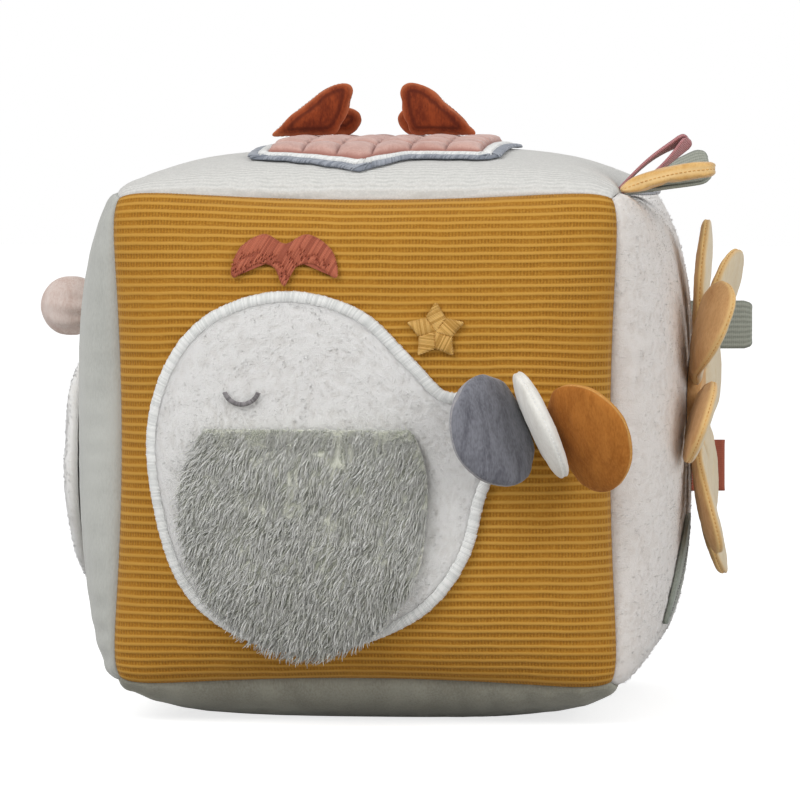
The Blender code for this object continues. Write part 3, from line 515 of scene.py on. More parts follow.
class Cloth:
    """A Principled material with small helpers to add nodes."""

    def __init__(self, name, roughness=0.95, sheen=0.0, sheen_tint="#FFFFFF"):
        self.material = bpy.data.materials.new(name)
        self.material.use_nodes = True
        self.tree = self.material.node_tree
        self.shader = self.tree.nodes["Principled BSDF"]
        self.set({"Roughness": roughness, "Specular IOR Level": 0.25, "Sheen Weight": sheen,
                  "Sheen Roughness": 0.5, "Sheen Tint": linear(sheen_tint),
                  "Subsurface Radius": (1.0, 1.0, 1.0)})
        self.place = self.node("TexCoord").outputs["Object"]

    def set(self, values):
        """Joins or fills inputs of the Principled node by name."""
        for name, value in values.items():
            feed(self.tree, value, self.shader.inputs[name])

    def node(self, kind, values=None, **settings):
        return linked(self.tree, "ShaderNode" + kind, values, **settings)

    def math(self, operation, a, b=0.0, c=0.0):
        return self.node("Math", {0: a, 1: b, 2: c}, operation=operation).outputs[0]

    def times(self, a, b):
        return self.math("MULTIPLY", a, b)

    def weighted(self, *parts, plus=0.0):
        """The sum of values times their weights."""
        total = plus
        for value, weight in reversed(parts):
            total = self.math("MULTIPLY_ADD", value, weight, total)
        return total

    def wave(self, place, pitch, shift=0.0, kind="COSINE"):
        return self.math(kind, self.math("MULTIPLY_ADD", place, 2 * math.pi / pitch, shift))

    def noise(self, size, detail=2.0, where=None, rough=0.5, distortion=0.0):
        return self.node("TexNoise", {"Scale": 1 / size, "Detail": detail, "Roughness": rough,
                                      "Distortion": distortion, "Vector": where or self.place}).outputs["Fac"]

    def stretched(self, scale):
        return self.node("Mapping", {"Scale": scale, "Vector": self.place}).outputs["Vector"]

    def cloth_lengths(self):
        """Lengths across and along the cloth, from its UV map."""
        return self.node("SeparateXYZ", {0: self.node("TexCoord").outputs["UV"]}).outputs[:2]

    def between(self, value, low, high, to_low=0.0, to_high=1.0):
        return self.node("MapRange", {0: value, 1: low, 2: high, 3: to_low, 4: to_high},
                         interpolation_type="SMOOTHSTEP").outputs["Result"]

    def mix(self, share, first, second):
        node = self.node("Mix", {0: share}, data_type="RGBA")
        for value, socket in zip((first, second), [s for s in node.inputs if s.type == "RGBA"]):
            feed(self.tree, linear(value) if isinstance(value, str) else value, socket)
        return [s for s in node.outputs if s.type == "RGBA"][0]

    def bump(self, height, depth, after=None, strength=1.0):
        values = {"Strength": strength, "Distance": depth, "Height": height}
        if after is not None:
            values["Normal"] = after
        return self.node("Bump", values).outputs["Normal"]

    def attribute(self, name):
        return self.node("Attribute", attribute_name=name).outputs["Fac"]

    def soften(self, weight, depth):
        """Lets light pass between the fibres, which is why white pile has no dark gaps."""
        self.set({"Subsurface Weight": weight, "Subsurface Scale": depth})

    def done(self, colour, normal=None):
        self.set({"Base Color": colour} if normal is None else {"Base Color": colour, "Normal": normal})
        return self.material


# %% [markdown]
# ## Velour
# Velour is a short cut pile, and a hand that brushes it leaves lighter and darker strokes. A broad noise
# makes the strokes, a fine one makes the pile, and sheen gives the pale rim that pile shows where the cloth
# turns away from the eye. Some velours also get a painted colour on their rim: on most pads a lighter one
# that paints the highlight of their rounded edge, and on the quilt a darker one that paints the shade in its
# grooves. The ears get a dark line beside the rim where they are stitched through, with the shade of the
# groove that the stitching sinks painted into it.

# %% Velour colours
VELOUR_PILE_SIZE = 0.5 * MM
VELOUR_PILE_DEPTH = 0.25 * MM
VELOUR_STROKE_DEPTH = 0.8 * MM


def velour(name, lit, shade, edge=None, stroke=9 * MM, sheen=0.35, tint="#FFFFFF", line=None):
    cloth = Cloth(name, roughness=0.9, sheen=sheen, sheen_tint=tint)
    nap = cloth.stretched((1, 1, 0.35))
    strokes = cloth.noise(stroke, 3.0, nap, rough=0.6, distortion=0.6)
    pile = cloth.noise(VELOUR_PILE_SIZE, 2.0, nap)
    tone = cloth.weighted((pile, 0.45), (strokes, 0.75))
    colour = cloth.mix(cloth.between(tone, 0.36, 0.80), shade, lit)
    # The edge colour is painted on the rim: a lighter one paints the highlight of a pad's rounded edge, and
    # the dusty pink's darker one paints the shade in the quilt's grooves.
    if edge is not None:
        colour = cloth.mix(cloth.between(cloth.attribute("rim"), 0.45, 1.0), colour, edge)
    if line is not None:
        # A dark line a little in from the rim: the stitched line, with the shade of the groove that it sinks
        # painted in.
        rim = cloth.attribute("rim")
        stitch_line_and_shade = cloth.times(cloth.between(rim, 0.10, 0.26), cloth.between(rim, 0.46, 0.30))
        colour = cloth.mix(cloth.times(stitch_line_and_shade, 0.7), colour, line)
    normal = cloth.bump(pile, VELOUR_PILE_DEPTH, strength=0.55)
    normal = cloth.bump(strokes, VELOUR_STROKE_DEPTH, normal, strength=0.35)
    return cloth.done(colour, normal)


sage_velour = velour("sage_velour", "#C4C5BF", "#B4B5AF", stroke=22 * MM, sheen=0.3)
# The bottom panel is the same sage velour as the left and back, painted darker and browner: painted shade
# under the block.
under_velour = velour("under_velour", "#A9A89B", "#8B897C", stroke=22 * MM, sheen=0.2)
leaf_velour = velour("leaf_velour", "#A0A69C", "#7E857B", stroke=8 * MM, sheen=0.3)
# The edge colours below are painted on the rims: the lighter ones paint the highlight of a pad's rounded
# edge, the dusty pink's darker one the shade in the quilt's grooves, and the terracotta's line the stitched
# line with its groove's shade.
grey_blue_velour = velour("grey_blue_velour", "#83848C", "#56565E", edge="#A3A1A6", stroke=4 * MM)
white_velour = velour("white_velour", "#F2F0EA", "#E2DFD7", stroke=6 * MM, sheen=0.2)
brown_velour = velour("ochre_brown_velour", "#B87530", "#98591A", edge="#CF974E", stroke=5 * MM,
                      sheen=0.25, tint="#F0D0A0")
terracotta_velour = velour("terracotta_velour", "#96431F", "#66240E", edge="#BF6A42", stroke=4 * MM,
                           sheen=0.3, tint="#F2C0A8", line="#4E1608")
rose_velour = velour("dusty_pink_velour", "#D6AEA2", "#BD9084", edge="#A87468", stroke=6 * MM, sheen=0.35)
blush_velour = velour("pale_pink_velour", "#E2D2CA", "#CBB1A6", stroke=7 * MM, sheen=0.3)
peach_velour = velour("peach_velour", "#DDB07A", "#C08A52", edge="#E8C284", stroke=7 * MM,
                      sheen=0.3, tint="#FFE6C4")
yellow_velour = velour("yellow_velour", "#E8BE7C", "#D2A05A", edge="#EDC88C", stroke=6 * MM, sheen=0.3)
print("velours:", len([m for m in bpy.data.materials if m.name.endswith("velour")]))

# %% [markdown]
# ## Ribbed knit and fine rib
# The front is a jersey with raised ribs that run from side to side, about two and a half millimetres
# apart, with a row of tiny dark gaps in each valley. The ribs are real relief in the mesh, so they show
# at the panel's outline. The gaps are too small for that: they are drawn by two waves on the cloth's own
# UV, one across the ribs and one along them, and their dark colour is painted shade. The ridges are also
# painted lighter and the valleys darker, as painted light and shade on the ribs, and the top's fine rib has
# its valleys painted darker in the same way.

# %% Knits
RIB_PITCH = 2.45 * MM
RIB_DEPTH = 0.34 * MM
DASH_PITCH = 0.95 * MM
FINE_RIB_PITCH = 1.5 * MM


def rib_knit():
    cloth = Cloth("ochre_rib_knit", roughness=0.95, sheen=0.12, sheen_tint="#FFE2B0")
    across, along = cloth.cloth_lengths()
    rib = cloth.wave(along, RIB_PITCH)
    wander = cloth.times(cloth.noise(3 * MM), 1.2)
    dash = cloth.wave(across, DASH_PITCH, wander, "SINE")
    valley_shade = cloth.between(rib, 0.55, -0.35)
    patchy = cloth.between(cloth.noise(9 * MM), 0.30, 0.62, 0.35, 1.0)
    gap = cloth.times(cloth.times(valley_shade, patchy), cloth.between(dash, -0.35, 0.8))
    fuzz = cloth.noise(0.7 * MM, 3.0)
    broad = cloth.noise(26 * MM)
    # Painted light and shade: the ridge tops lighter, the valleys darker.
    ridge = cloth.mix(cloth.between(rib, -0.2, 1.0), "#A87222", "#CB9A48")
    colour = cloth.mix(cloth.between(fuzz, 0.35, 0.75), ridge, cloth.mix(0.5, ridge, "#C8963C"))
    colour = cloth.mix(cloth.times(cloth.between(broad, 0.3, 0.7), 0.18), colour, "#A8701A")
    # The dark gaps: painted shade in the openings between the loops.
    colour = cloth.mix(cloth.times(gap, 0.42), colour, "#80530F")
    normal = cloth.bump(gap, -0.22 * MM, strength=0.6)
    return cloth.done(colour, cloth.bump(fuzz, 0.18 * MM, normal, strength=0.5))


def fine_rib():
    cloth = Cloth("off_white_fine_rib", roughness=0.95, sheen=0.12)
    along = cloth.cloth_lengths()[1]
    rib = cloth.wave(along, FINE_RIB_PITCH, cloth.times(cloth.noise(7 * MM), 1.6))
    broken = cloth.between(cloth.noise(2.6 * MM), 0.35, 0.60, 0.25, 1.0)
    valley_shade = cloth.times(cloth.between(rib, 0.2, -0.9), broken)
    fuzz = cloth.noise(0.6 * MM, 3.0)
    colour = cloth.mix(cloth.between(fuzz, 0.3, 0.75), "#D4D3CF", "#E2E1DD")
    # Painted shade: the valleys darker.
    colour = cloth.mix(cloth.times(valley_shade, 0.50), colour, "#BFBFBB")
    normal = cloth.bump(rib, 0.16 * MM, strength=0.6)
    return cloth.done(colour, cloth.bump(fuzz, 0.15 * MM, normal, strength=0.4))


ochre_knit = rib_knit()
white_knit = fine_rib()

# %% [markdown]
# ## Pile, thread, ribbon and the rest
# Pile is made of real strands, so its material mostly varies from strand to strand, through a tone that
# the strands carry. The plush also has partings between its locks, painted darker as the shade in them, and
# the ground under the pile is painted darker in the hollows of its curls and locks, as painted shade. Light
# passes between the fibres, as it does in wool. Thread shines a little more than cloth, and ribbon has a
# fine rib and a weft on its own UV.

# %% Pile, thread and ribbon
WEFT_PITCH = 0.62 * MM


def pile_material(name, light, dark, sheen=0.25, lock=None, groove_shade=None):
    cloth = Cloth(name, roughness=0.85, sheen=sheen)
    cloth.soften(0.9, 1.5 * MM)
    share = cloth.weighted((cloth.attribute("tone"), 0.55), (cloth.noise(7 * MM), 0.5))
    colour = cloth.mix(cloth.between(share, 0.15, 0.85), dark, light)
    if lock is not None:
        # Painted shade: the partings between the locks take the darker groove colour.
        parting = cloth.noise(lock, 2.0, cloth.stretched((1, 1, 0.45)), distortion=1.2)
        colour = cloth.mix(cloth.between(parting, 0.36, 0.50), groove_shade, colour)
    return cloth.done(colour)


def fleece_ground(name, light, dark):
    cloth = Cloth(name, roughness=0.95, sheen=0.2)
    cloth.soften(1.0, 3.0 * MM)
    # The low parts of the curls and locks get the dark colour: painted shade in the hollows.
    height = cloth.between(cloth.attribute("pile_height"), 0.05, 0.75)
    fuzz = cloth.noise(0.45 * MM, 3.0)
    colour = cloth.mix(cloth.weighted((height, 0.8), (fuzz, 0.3)), dark, light)
    return cloth.done(colour, cloth.bump(fuzz, 0.3 * MM, strength=0.8))


def thread(name, light, dark):
    cloth = Cloth(name, roughness=0.55, sheen=0.1)
    cloth.set({"Specular IOR Level": 0.4})
    fibre = cloth.noise(0.25 * MM, 1.0)
    share = cloth.weighted((cloth.attribute("tone"), 0.6), (fibre, 0.4))
    colour = cloth.mix(cloth.between(share, 0.2, 0.8), dark, light)
    return cloth.done(colour, cloth.bump(fibre, 0.08 * MM, strength=0.6))


def ribbon(name, light, dark, rib=0.9 * MM, shine=0.6, along=True):
    cloth = Cloth(name, roughness=shine, sheen=0.1)
    first, second = cloth.cloth_lengths()
    wave = cloth.wave(first if along else second, rib)
    weft = cloth.wave(second if along else first, WEFT_PITCH)
    fibre = cloth.noise(0.5 * MM)
    share = cloth.weighted((wave, 0.20), (weft, 0.10), (fibre, 0.6), plus=0.15)
    colour = cloth.mix(cloth.between(share, 0.05, 0.8), dark, light)
    normal = cloth.bump(wave, 0.10 * MM, strength=0.5)
    return cloth.done(colour, cloth.bump(fibre, 0.06 * MM, normal, strength=0.5))


fleece_cloth = fleece_ground("white_fleece", "#F1EFEC", "#E9E6E2")
fleece_pile = pile_material("white_fleece_curls", "#F4F2EF", "#E8E5E1")
teddy_cloth = fleece_ground("teddy_fleece", "#EAE4DF", "#E4DDD7")
teddy_pile = pile_material("teddy_fleece_curls", "#EFE9E4", "#E2DBD4")
plush_cloth = fleece_ground("sage_plush", "#D6D7C9", "#B4B7A7")
plush_pile = pile_material("sage_plush_strands", "#FDFDEF", "#F4F5E4", sheen=0.3, lock=3.0 * MM,
                           groove_shade="#D4D6C4")
satin_thread = thread("white_satin_stitch", "#F7F7F5", "#E3E4E2")
rust_thread = thread("rust_satin_stitch", "#BE6A4C", "#9A4A30")
gold_thread = thread("gold_satin_stitch", "#E0B568", "#B98A3A")
blue_thread = thread("grey_blue_stitch", "#A7ACB5", "#7C828D")
grey_thread = thread("grey_thread", "#928E8F", "#6B6769")
rose_ribbon = ribbon("pink_ribbon", "#C58D90", "#A06468", rib=0.5 * MM, shine=0.45)
lengthwise_ribbon = ribbon("sage_ribbed_ribbon", "#A7AA9E", "#878B80", rib=1.6 * MM, along=False)
label_weave = ribbon("terracotta_label_weave", "#B4614A", "#9A4C38", rib=0.35 * MM)
pale_tape = ribbon("pale_grey_tape", "#B3B5BA", "#8C8E94", rib=0.6 * MM)
print("materials:", len(bpy.data.materials))

# %% [markdown]
# ## The six panels
# Each panel is one piece of cloth over wadding. A cushion could be simulated from a plain cube, but the
# packed seams must stay where they are, so the panel is drawn on the surface from above with a fine grid.
# The front's grid has many rows, because its ribs are real: each row sits a little higher or lower by the
# cosine of its place. The back of the cloth is a second grid one cloth's thickness inside.

# %% Panels
CLOTH_WALL = 1.6 * MM
PANEL_CELLS = 96
FRONT_CELLS = (84, 427)


def rib_line(a, b):
    """Length along the cloth at each point: the ribs wander a little, as sewing drew them."""
    spots = joined(a, b, 0.0)
    return b + 0.55 * MM * cloud(spots, 24 * MM, 11) + 0.12 * MM * cloud(spots, 6 * MM, 13)


def panel_points(face, a, b, lift):
    """The outer side of a panel's cloth, raised by lift, and its inner side a cloth's thickness in."""
    outer = cloth_surface(face, a, b, lift)
    middle = np.array(MIDDLE)
    inner = middle + (cloth_surface(face, a, b) - middle) * (1 - CLOTH_WALL / HALF)
    return np.concatenate([outer.reshape(-1, 3), inner.reshape(-1, 3)])


def panel_piece(face, material, columns, rows, relief=None):
    across = np.linspace(-1, 1, columns + 1)
    along = np.linspace(-1, 1, rows + 1)
    if relief is None:
        across, along = (s * 0.45 + 0.55 * np.sin(s * math.pi / 2) for s in (across, along))
    a, b = np.meshgrid(across * HALF, along * HALF)
    lift = 0.0 if relief is None else relief(a, b)
    uv = joined(a.ravel(), rib_line(a, b).ravel())
    piece = new_piece(face + "_panel_cloth", panel_points(face, a, b, lift), sheet_grid(columns, rows), uv)
    return finish_piece(piece, material, face + "_panel")


def knit_ribs(a, b):
    """Height of the rib at each point: round ridges that fade out at the seams."""
    fade = np.clip(seam_distance(a, b) / (2.5 * MM), 0, 1)
    ridge = 0.5 + 0.5 * np.cos(2 * math.pi * rib_line(a, b) / RIB_PITCH)
    return RIB_DEPTH * (ridge ** 1.3 - 0.4) * fade


panel_piece("front", ochre_knit, *FRONT_CELLS, knit_ribs)
for face, material in (("top", white_knit), ("left", sage_velour), ("back", sage_velour),
                       ("bottom", under_velour)):
    panel_piece(face, material, PANEL_CELLS, PANEL_CELLS)

# %% [markdown]
# ## Curled pile
# Teddy cloth and fleece are a knitted ground covered by small curls. Hair would show them, but hair is
# dropped by an export, so this is done in two layers. The ground's own mesh is fine enough to hold curls
# as bumps: a noise folded at zero gives winding ridges like curled wool. Loose curls are then spread over
# it by Geometry Nodes.

# %% Curly ground
def curl_height(points, size, seed=21):
    """Winding ridges from 0 to 1, like curled wool."""
    bend = joined(*(cloud(points, size * 1.7, seed + k) for k in (1, 2, 3)))
    warped = points + bend * size * 0.8
    fold = 1 - np.abs(cloud(warped, size, seed)) * 1.9
    small = 1 - np.abs(cloud(warped, size * 0.5, seed + 9)) * 1.7
    clump = 0.5 + 0.5 * cloud(points, size * 3.5, seed + 5)
    return np.clip(0.58 * fold + 0.22 * small + 0.30 * clump, 0, 1.1)


def note_pile(piece, height):
    """Notes the pile's height on the upper of a piece's two like sheets, for its colour: painted shade in its
    low parts.
    """
    store_attribute(piece, "pile_height", np.concatenate([height.ravel(), height.ravel() * 0]))


def curly_panel(face, material, cells, size, depth):
    share = np.linspace(-1, 1, cells + 1)
    a, b = np.meshgrid(share * HALF, share * HALF)
    height = curl_height(plain_surface(face, a, b), size)
    lift = depth * height * np.clip((seam_distance(a, b) + 1.2 * MM) / (4 * MM), 0, 1)
    piece = new_piece(face + "_panel_cloth", panel_points(face, a, b, lift), sheet_grid(cells, cells))
    note_pile(piece, height)
    return finish_piece(piece, material, face + "_panel")


TEDDY_CURL = 1.9 * MM
TEDDY_RISE = 0.40 * MM
TEDDY_CELLS = 200
right_cloth = curly_panel("right", teddy_cloth, TEDDY_CELLS, TEDDY_CURL, TEDDY_RISE)

# %% [markdown]
# ## Geometry Nodes: pile
# The tree takes a surface, spreads points over it, turns one strand on each point and makes it all real
# mesh. A strand leans from the surface's own outward direction toward the way the pile was brushed, and a
# slow noise makes neighbours lean together in locks. Its sizes are named inputs, so the same tree makes
# short curls on fleece and long brushed plush. Each strand also gets a random tone for its colour.

# %% Pile tree
FULL_TURN = 6.2832


def tree_with_inputs(name, inputs):
    tree = bpy.data.node_groups.new(name, "GeometryNodeTree")
    tree.interface.new_socket("Geometry", in_out="INPUT", socket_type="NodeSocketGeometry")
    for label, kind in inputs:
        tree.interface.new_socket(label, in_out="INPUT", socket_type="NodeSocket" + kind)
    tree.interface.new_socket("Geometry", in_out="OUTPUT", socket_type="NodeSocketGeometry")
    return tree


def vectors(tree, operation, first, second):
    """A sum, a difference or a scaling of vectors."""
    other = "Scale" if operation == "SCALE" else 1
    return linked(tree, "ShaderNodeVectorMath", {0: first, other: second}, operation=operation).outputs[0]


def random_number(tree, low, high, seed=0):
    """A number of its own for each point or instance."""
    node = linked(tree, "FunctionNodeRandomValue", {"Min": low, "Max": high, "Seed": seed}, data_type="FLOAT")
    return [s for s in node.outputs if s.type == "VALUE" and s.enabled][0]


def pile_tree():
    tree = tree_with_inputs("pile", [
        ("Strands per square metre", "Float"), ("Strand length", "Float"), ("Length spread", "Float"),
        ("Brushed toward", "Vector"), ("Lean", "Float"), ("Lock size", "Float"), ("Lock lean", "Float"),
        ("Strand", "Object"), ("Cloth", "Material"), ("Seed", "Int")])
    given = tree.nodes.new("NodeGroupInput").outputs
    spots = linked(tree, "GeometryNodeDistributePointsOnFaces",
                   {"Mesh": given["Geometry"], "Density": given["Strands per square metre"],
                    "Seed": given["Seed"]}, distribute_method="RANDOM")
    where = linked(tree, "GeometryNodeInputPosition").outputs[0]
    fineness = linked(tree, "ShaderNodeMath", {0: 1.0, 1: given["Lock size"]}, operation="DIVIDE").outputs[0]
    locks = linked(tree, "ShaderNodeTexNoise", {"Vector": where, "Scale": fineness, "Detail": 1.0})
    centred = vectors(tree, "SUBTRACT", locks.outputs["Color"], (0.5, 0.5, 0.5))
    brushed = vectors(tree, "SCALE", given["Brushed toward"], given["Lean"])
    lean = vectors(tree, "ADD", spots.outputs["Normal"], brushed)
    way = vectors(tree, "ADD", lean, vectors(tree, "SCALE", centred, given["Lock lean"]))
    stood = linked(tree, "FunctionNodeAlignRotationToVector", {"Vector": way}, axis="Z")
    spin = linked(tree, "FunctionNodeAxisAngleToRotation",
                  {"Axis": (0, 0, 1), "Angle": random_number(tree, 0.0, FULL_TURN, given["Seed"])})
    turned = linked(tree, "FunctionNodeRotateRotation",
                    {0: stood.outputs[0], 1: spin.outputs[0]}, rotation_space="LOCAL")
    least = linked(tree, "ShaderNodeMath", {0: 1.0, 1: given["Length spread"]}, operation="SUBTRACT")
    size = linked(tree, "ShaderNodeMath", {0: random_number(tree, least.outputs[0], 1.0),
                                           1: given["Strand length"]}, operation="MULTIPLY")
    instances = copies(tree, spots.outputs["Points"], given["Strand"], turned.outputs[0], size.outputs[0])
    return close_tree(tree, instances, given["Cloth"])


def copies(tree, points, model, rotation, size):
    """One turned and sized copy of a model object on each point."""
    shape = linked(tree, "GeometryNodeObjectInfo", {"Object": model}).outputs["Geometry"]
    return linked(tree, "GeometryNodeInstanceOnPoints", {
        "Points": points, "Instance": shape, "Rotation": rotation, "Scale": size}).outputs[0]


def close_tree(tree, instances, cloth):
    """Gives each instance a tone, makes all of them real and sets their material."""
    noted = linked(tree, "GeometryNodeStoreNamedAttribute", {"Geometry": instances, "Name": "tone"},
                   data_type="FLOAT", domain="INSTANCE")
    value_in = [s for s in noted.inputs if s.name == "Value" and s.enabled][0]
    tree.links.new(random_number(tree, 0.0, 1.0, 3), value_in)
    real = linked(tree, "GeometryNodeRealizeInstances", {"Geometry": noted.outputs[0]})
    smooth = linked(tree, "GeometryNodeSetShadeSmooth", {"Geometry": real.outputs[0]})
    coloured = linked(tree, "GeometryNodeSetMaterial", {"Geometry": smooth.outputs[0], "Material": cloth})
    tree.links.new(coloured.outputs[0], tree.nodes.new("NodeGroupOutput").inputs[0])
    return tree


def grown(source, tree, name, **inputs):
    """What a tree makes of a source mesh, as a new plain piece."""
    piece = placed(name, source.data.copy())
    modifier = piece.modifiers.new(tree.name, "NODES")
    modifier.node_group = tree
    sockets = {s.name: s.identifier for s in tree.interface.items_tree if s.in_out == "INPUT"}
    for label, value in inputs.items():
        modifier[sockets[label.replace("_", " ")]] = value
    return baked(piece)


pile = pile_tree()
print("pile tree:", len(pile.nodes), "nodes")

# %% [markdown]
# ## Strands
# A strand is a thin three-sided tube that tapers toward its tip. For fleece it is rolled into an open
# curl, for plush it only bends over. Each has about thirty triangles, because thousands of them are set.
# They are about one unit long, so the tree's length input is near their real length.

# %% Strand models
STRAND_SIDES = 3


def tube_model(name, points, sides):
    """A closed tube from rings of points, to set copies of; it isn't rendered itself."""
    steps = len(points) // sides - 1
    faces = []
    for step in range(steps):
        for side in range(sides):
            at = step * sides + side
            after = step * sides + (side + 1) % sides
            faces.append((at, after, after + sides, at + sides))
    faces.append(tuple(range(sides)))
    faces.append(tuple(steps * sides + side for side in range(sides)))
    model = new_piece(name, points, faces)
    face_outwards(model)
    model.hide_render = True
    return model


def strand_model(name, steps, width, path):
    """A tapering three-sided tube along a path of unit length."""
    points = []
    for step in range(steps + 1):
        share = step / steps
        middle = Vector(path(share))
        ahead = (Vector(path(min(1, share + 0.02))) - Vector(path(max(0, share - 0.02)))).normalized()
        side = ahead.orthogonal().normalized()
        lift = ahead.cross(side)
        radius = width * (1 - 0.82 * share ** 2)
        for corner in range(STRAND_SIDES):
            angle = 2 * math.pi * corner / STRAND_SIDES
            points.append(middle + side * radius * math.cos(angle) + lift * radius * math.sin(angle))
    return tube_model(name, points, STRAND_SIDES)


def curl_path(share):
    angle = 4.6 * share
    reach = 0.30 + 0.12 * share
    return (reach * math.sin(angle), reach * (1 - math.cos(angle)) - 0.1, 0.15 + 0.38 * share)


def blade_path(share):
    return (0.24 * share ** 2, 0.06 * math.sin(3.4 * share), share - 0.12 * share ** 2)


curl_strand = strand_model("curl_strand", 5, 0.10, curl_path)
plush_strand = strand_model("plush_strand", 4, 0.060, blade_path)
print("strands:", triangles(curl_strand), "and", triangles(plush_strand), "triangles")

# %% Teddy curls
EVEN_LIGHT_SHARE = 0.6
MOST_TRIANGLES = 195000


def even_light(piece, way):
    """Leans the normals of a deep pile one way, so that light falls on it as on one soft surface."""
    own = numbers(piece.data.vertex_normals, "vector")
    leaned = unit(own * (1 - EVEN_LIGHT_SHARE) + np.array(way) * EVEN_LIGHT_SHARE)
    piece.data.normals_split_custom_set_from_vertices(leaned)


def pile_on(source, name, node, face, material, strand, seed, per_m2, length, spread, toward, lean, lock,
            lock_lean):
    """Grows pile on a guide that lies on a panel, as a piece of its own."""
    piece = grown(source, pile, name, Strands_per_square_metre=float(per_m2), Strand_length=length,
                  Length_spread=spread, Brushed_toward=toward, Lean=lean, Lock_size=lock,
                  Lock_lean=lock_lean, Strand=strand, Cloth=material, Seed=seed)
    assert triangles(piece) < MOST_TRIANGLES, (name, triangles(piece))
    even_light(piece, FACES[face][0])
    return finish_piece(piece, None, node, stands_for=False)


def outer_face(piece, name, keep):
    """A copy of a piece that holds only the faces for which keep is true, to grow pile on."""
    copy = bpy.data.objects.new(name, piece.data.copy())
    reworked(copy.data, lambda shape: bmesh.ops.delete(shape, context="FACES", geom=[
        f for f in shape.faces if not keep(f.calc_center_median(), f.normal)]))
    return copy


teddy_guide = outer_face(right_cloth, "teddy_guide", lambda place, normal: normal.x > 0.15)
for order, part in enumerate(("near", "far")):
    pile_on(teddy_guide, "right_panel_curls_" + part, "right_panel", "right", teddy_pile, curl_strand,
            4 + order, per_m2=90000, length=0.9 * MM, spread=0.45, toward=(0, 0, -1), lean=0.9,
            lock=6 * MM, lock_lean=1.7)
bpy.data.objects.remove(teddy_guide)

# %% [markdown]
# ## Outlines and patches
# A sewn patch is an outline on a panel. Its cloth is drawn as rings that shrink toward a middle point, so
# the same code serves a whale, a leaf and a round patch. The outline passes through a few listed
# corners as a smooth curve. The corners could be many and exact, but few of them are easier to change.

# %% Patch helpers
PATCH_LIFT = 0.6 * MM


def closed_curve(corners, steps):
    """A smooth closed outline through its corners, as an array of lengths on a panel."""
    corners = np.asarray(corners, float)
    before, start, end, after = (np.roll(corners, shift, axis=0)[:, None] for shift in (1, 0, -1, -2))
    t = np.linspace(0, 1, steps, endpoint=False)[None, :, None]
    bend = (2 * start + (end - before) * t + (2 * before - 5 * start + 4 * end - after) * t ** 2
            + (3 * start - before - 3 * end + after) * t ** 3)
    return bend.reshape(-1, 2) / 2


def outset(outline, distance):
    """The outline moved out along its own normals; outlines run clockwise."""
    way = unit(np.roll(outline, -1, axis=0) - np.roll(outline, 1, axis=0))
    return outline + distance * joined(-way[:, 1], way[:, 0])


def travelled(path):
    """The length covered up to each point of a path."""
    return np.concatenate([[0], np.cumsum(np.linalg.norm(np.diff(path, axis=0), axis=1))])


def walked(line):
    """The whole length of a closed line, and a function for its points at lengths along it."""
    closed = np.concatenate([line, line[:1]])
    travel = travelled(closed)
    return travel[-1], lambda places: joined(*(np.interp(places, travel, axis) for axis in closed.T))


def evenly(outline, pitch):
    """The closed outline again, with points a pitch apart."""
    length, point_at = walked(outline)
    return point_at(np.linspace(0, length, max(8, int(length / pitch)), endpoint=False))


def circle(count):
    """Points of a unit circle, clockwise from its top."""
    turns = np.linspace(0, 2 * math.pi, count, endpoint=False)
    return joined(np.sin(turns), np.cos(turns))


def inside(outline, a, b):
    """Which of the places lie inside the outline."""
    crossings = np.zeros(np.shape(a), int)
    for (x0, y0), (x1, y1) in zip(outline, np.roll(outline, -1, axis=0)):
        if y0 == y1:
            continue
        straddles = (b >= min(y0, y1)) & (b < max(y0, y1))
        crossings += straddles & (a < x0 + (b - y0) * (x1 - x0) / (y1 - y0))
    return crossings % 2 == 1


def ring_points(outline, middle, rings):
    share = np.linspace(0, 1, rings + 1)[1:]
    middle = np.asarray(middle, float)
    rim = middle + share[:, None, None] * (outline - middle)
    places = np.concatenate([middle[None], rim.reshape(-1, 2)])
    return places[:, 0], places[:, 1], np.concatenate([[0], np.repeat(share, len(outline))])


def ring_shell(count, rings):
    """Faces of two like sheets of rings round a middle point, joined at the rim."""
    sheet = 1 + count * rings
    faces = []
    for i in range(count):
        j = (i + 1) % count
        for base in (0, sheet):
            faces.append((base, base + 1 + i, base + 1 + j))
            for ring in range(rings - 1):
                at = base + 1 + ring * count
                faces.append((at + i, at + count + i, at + count + j, at + j))
        last = 1 + (rings - 1) * count
        faces.append((last + i, sheet + last + i, sheet + last + j, last + j))
    return faces


def sewn_patch(name, node, face, outline, middle, rings, rise, material, lift=PATCH_LIFT,
               height_at=None, rim=None):
    """A finished patch whose upper side stands at rise(a, b, share) over its under side."""
    a, b, share = ring_points(outline, middle, rings)
    top = cloth_surface(face, a, b, lift + rise(a, b, share))
    under = cloth_surface(face, a, b, lift)
    piece = new_piece(name, np.concatenate([top, under]), ring_shell(len(outline), rings), joined(a, b))
    face_outwards(piece)
    if height_at is not None:
        note_pile(piece, height_at(a, b))
    if rim is not None:
        store_attribute(piece, "rim", np.full(len(piece.data.vertices), rim))
    return finish_piece(piece, material, node)


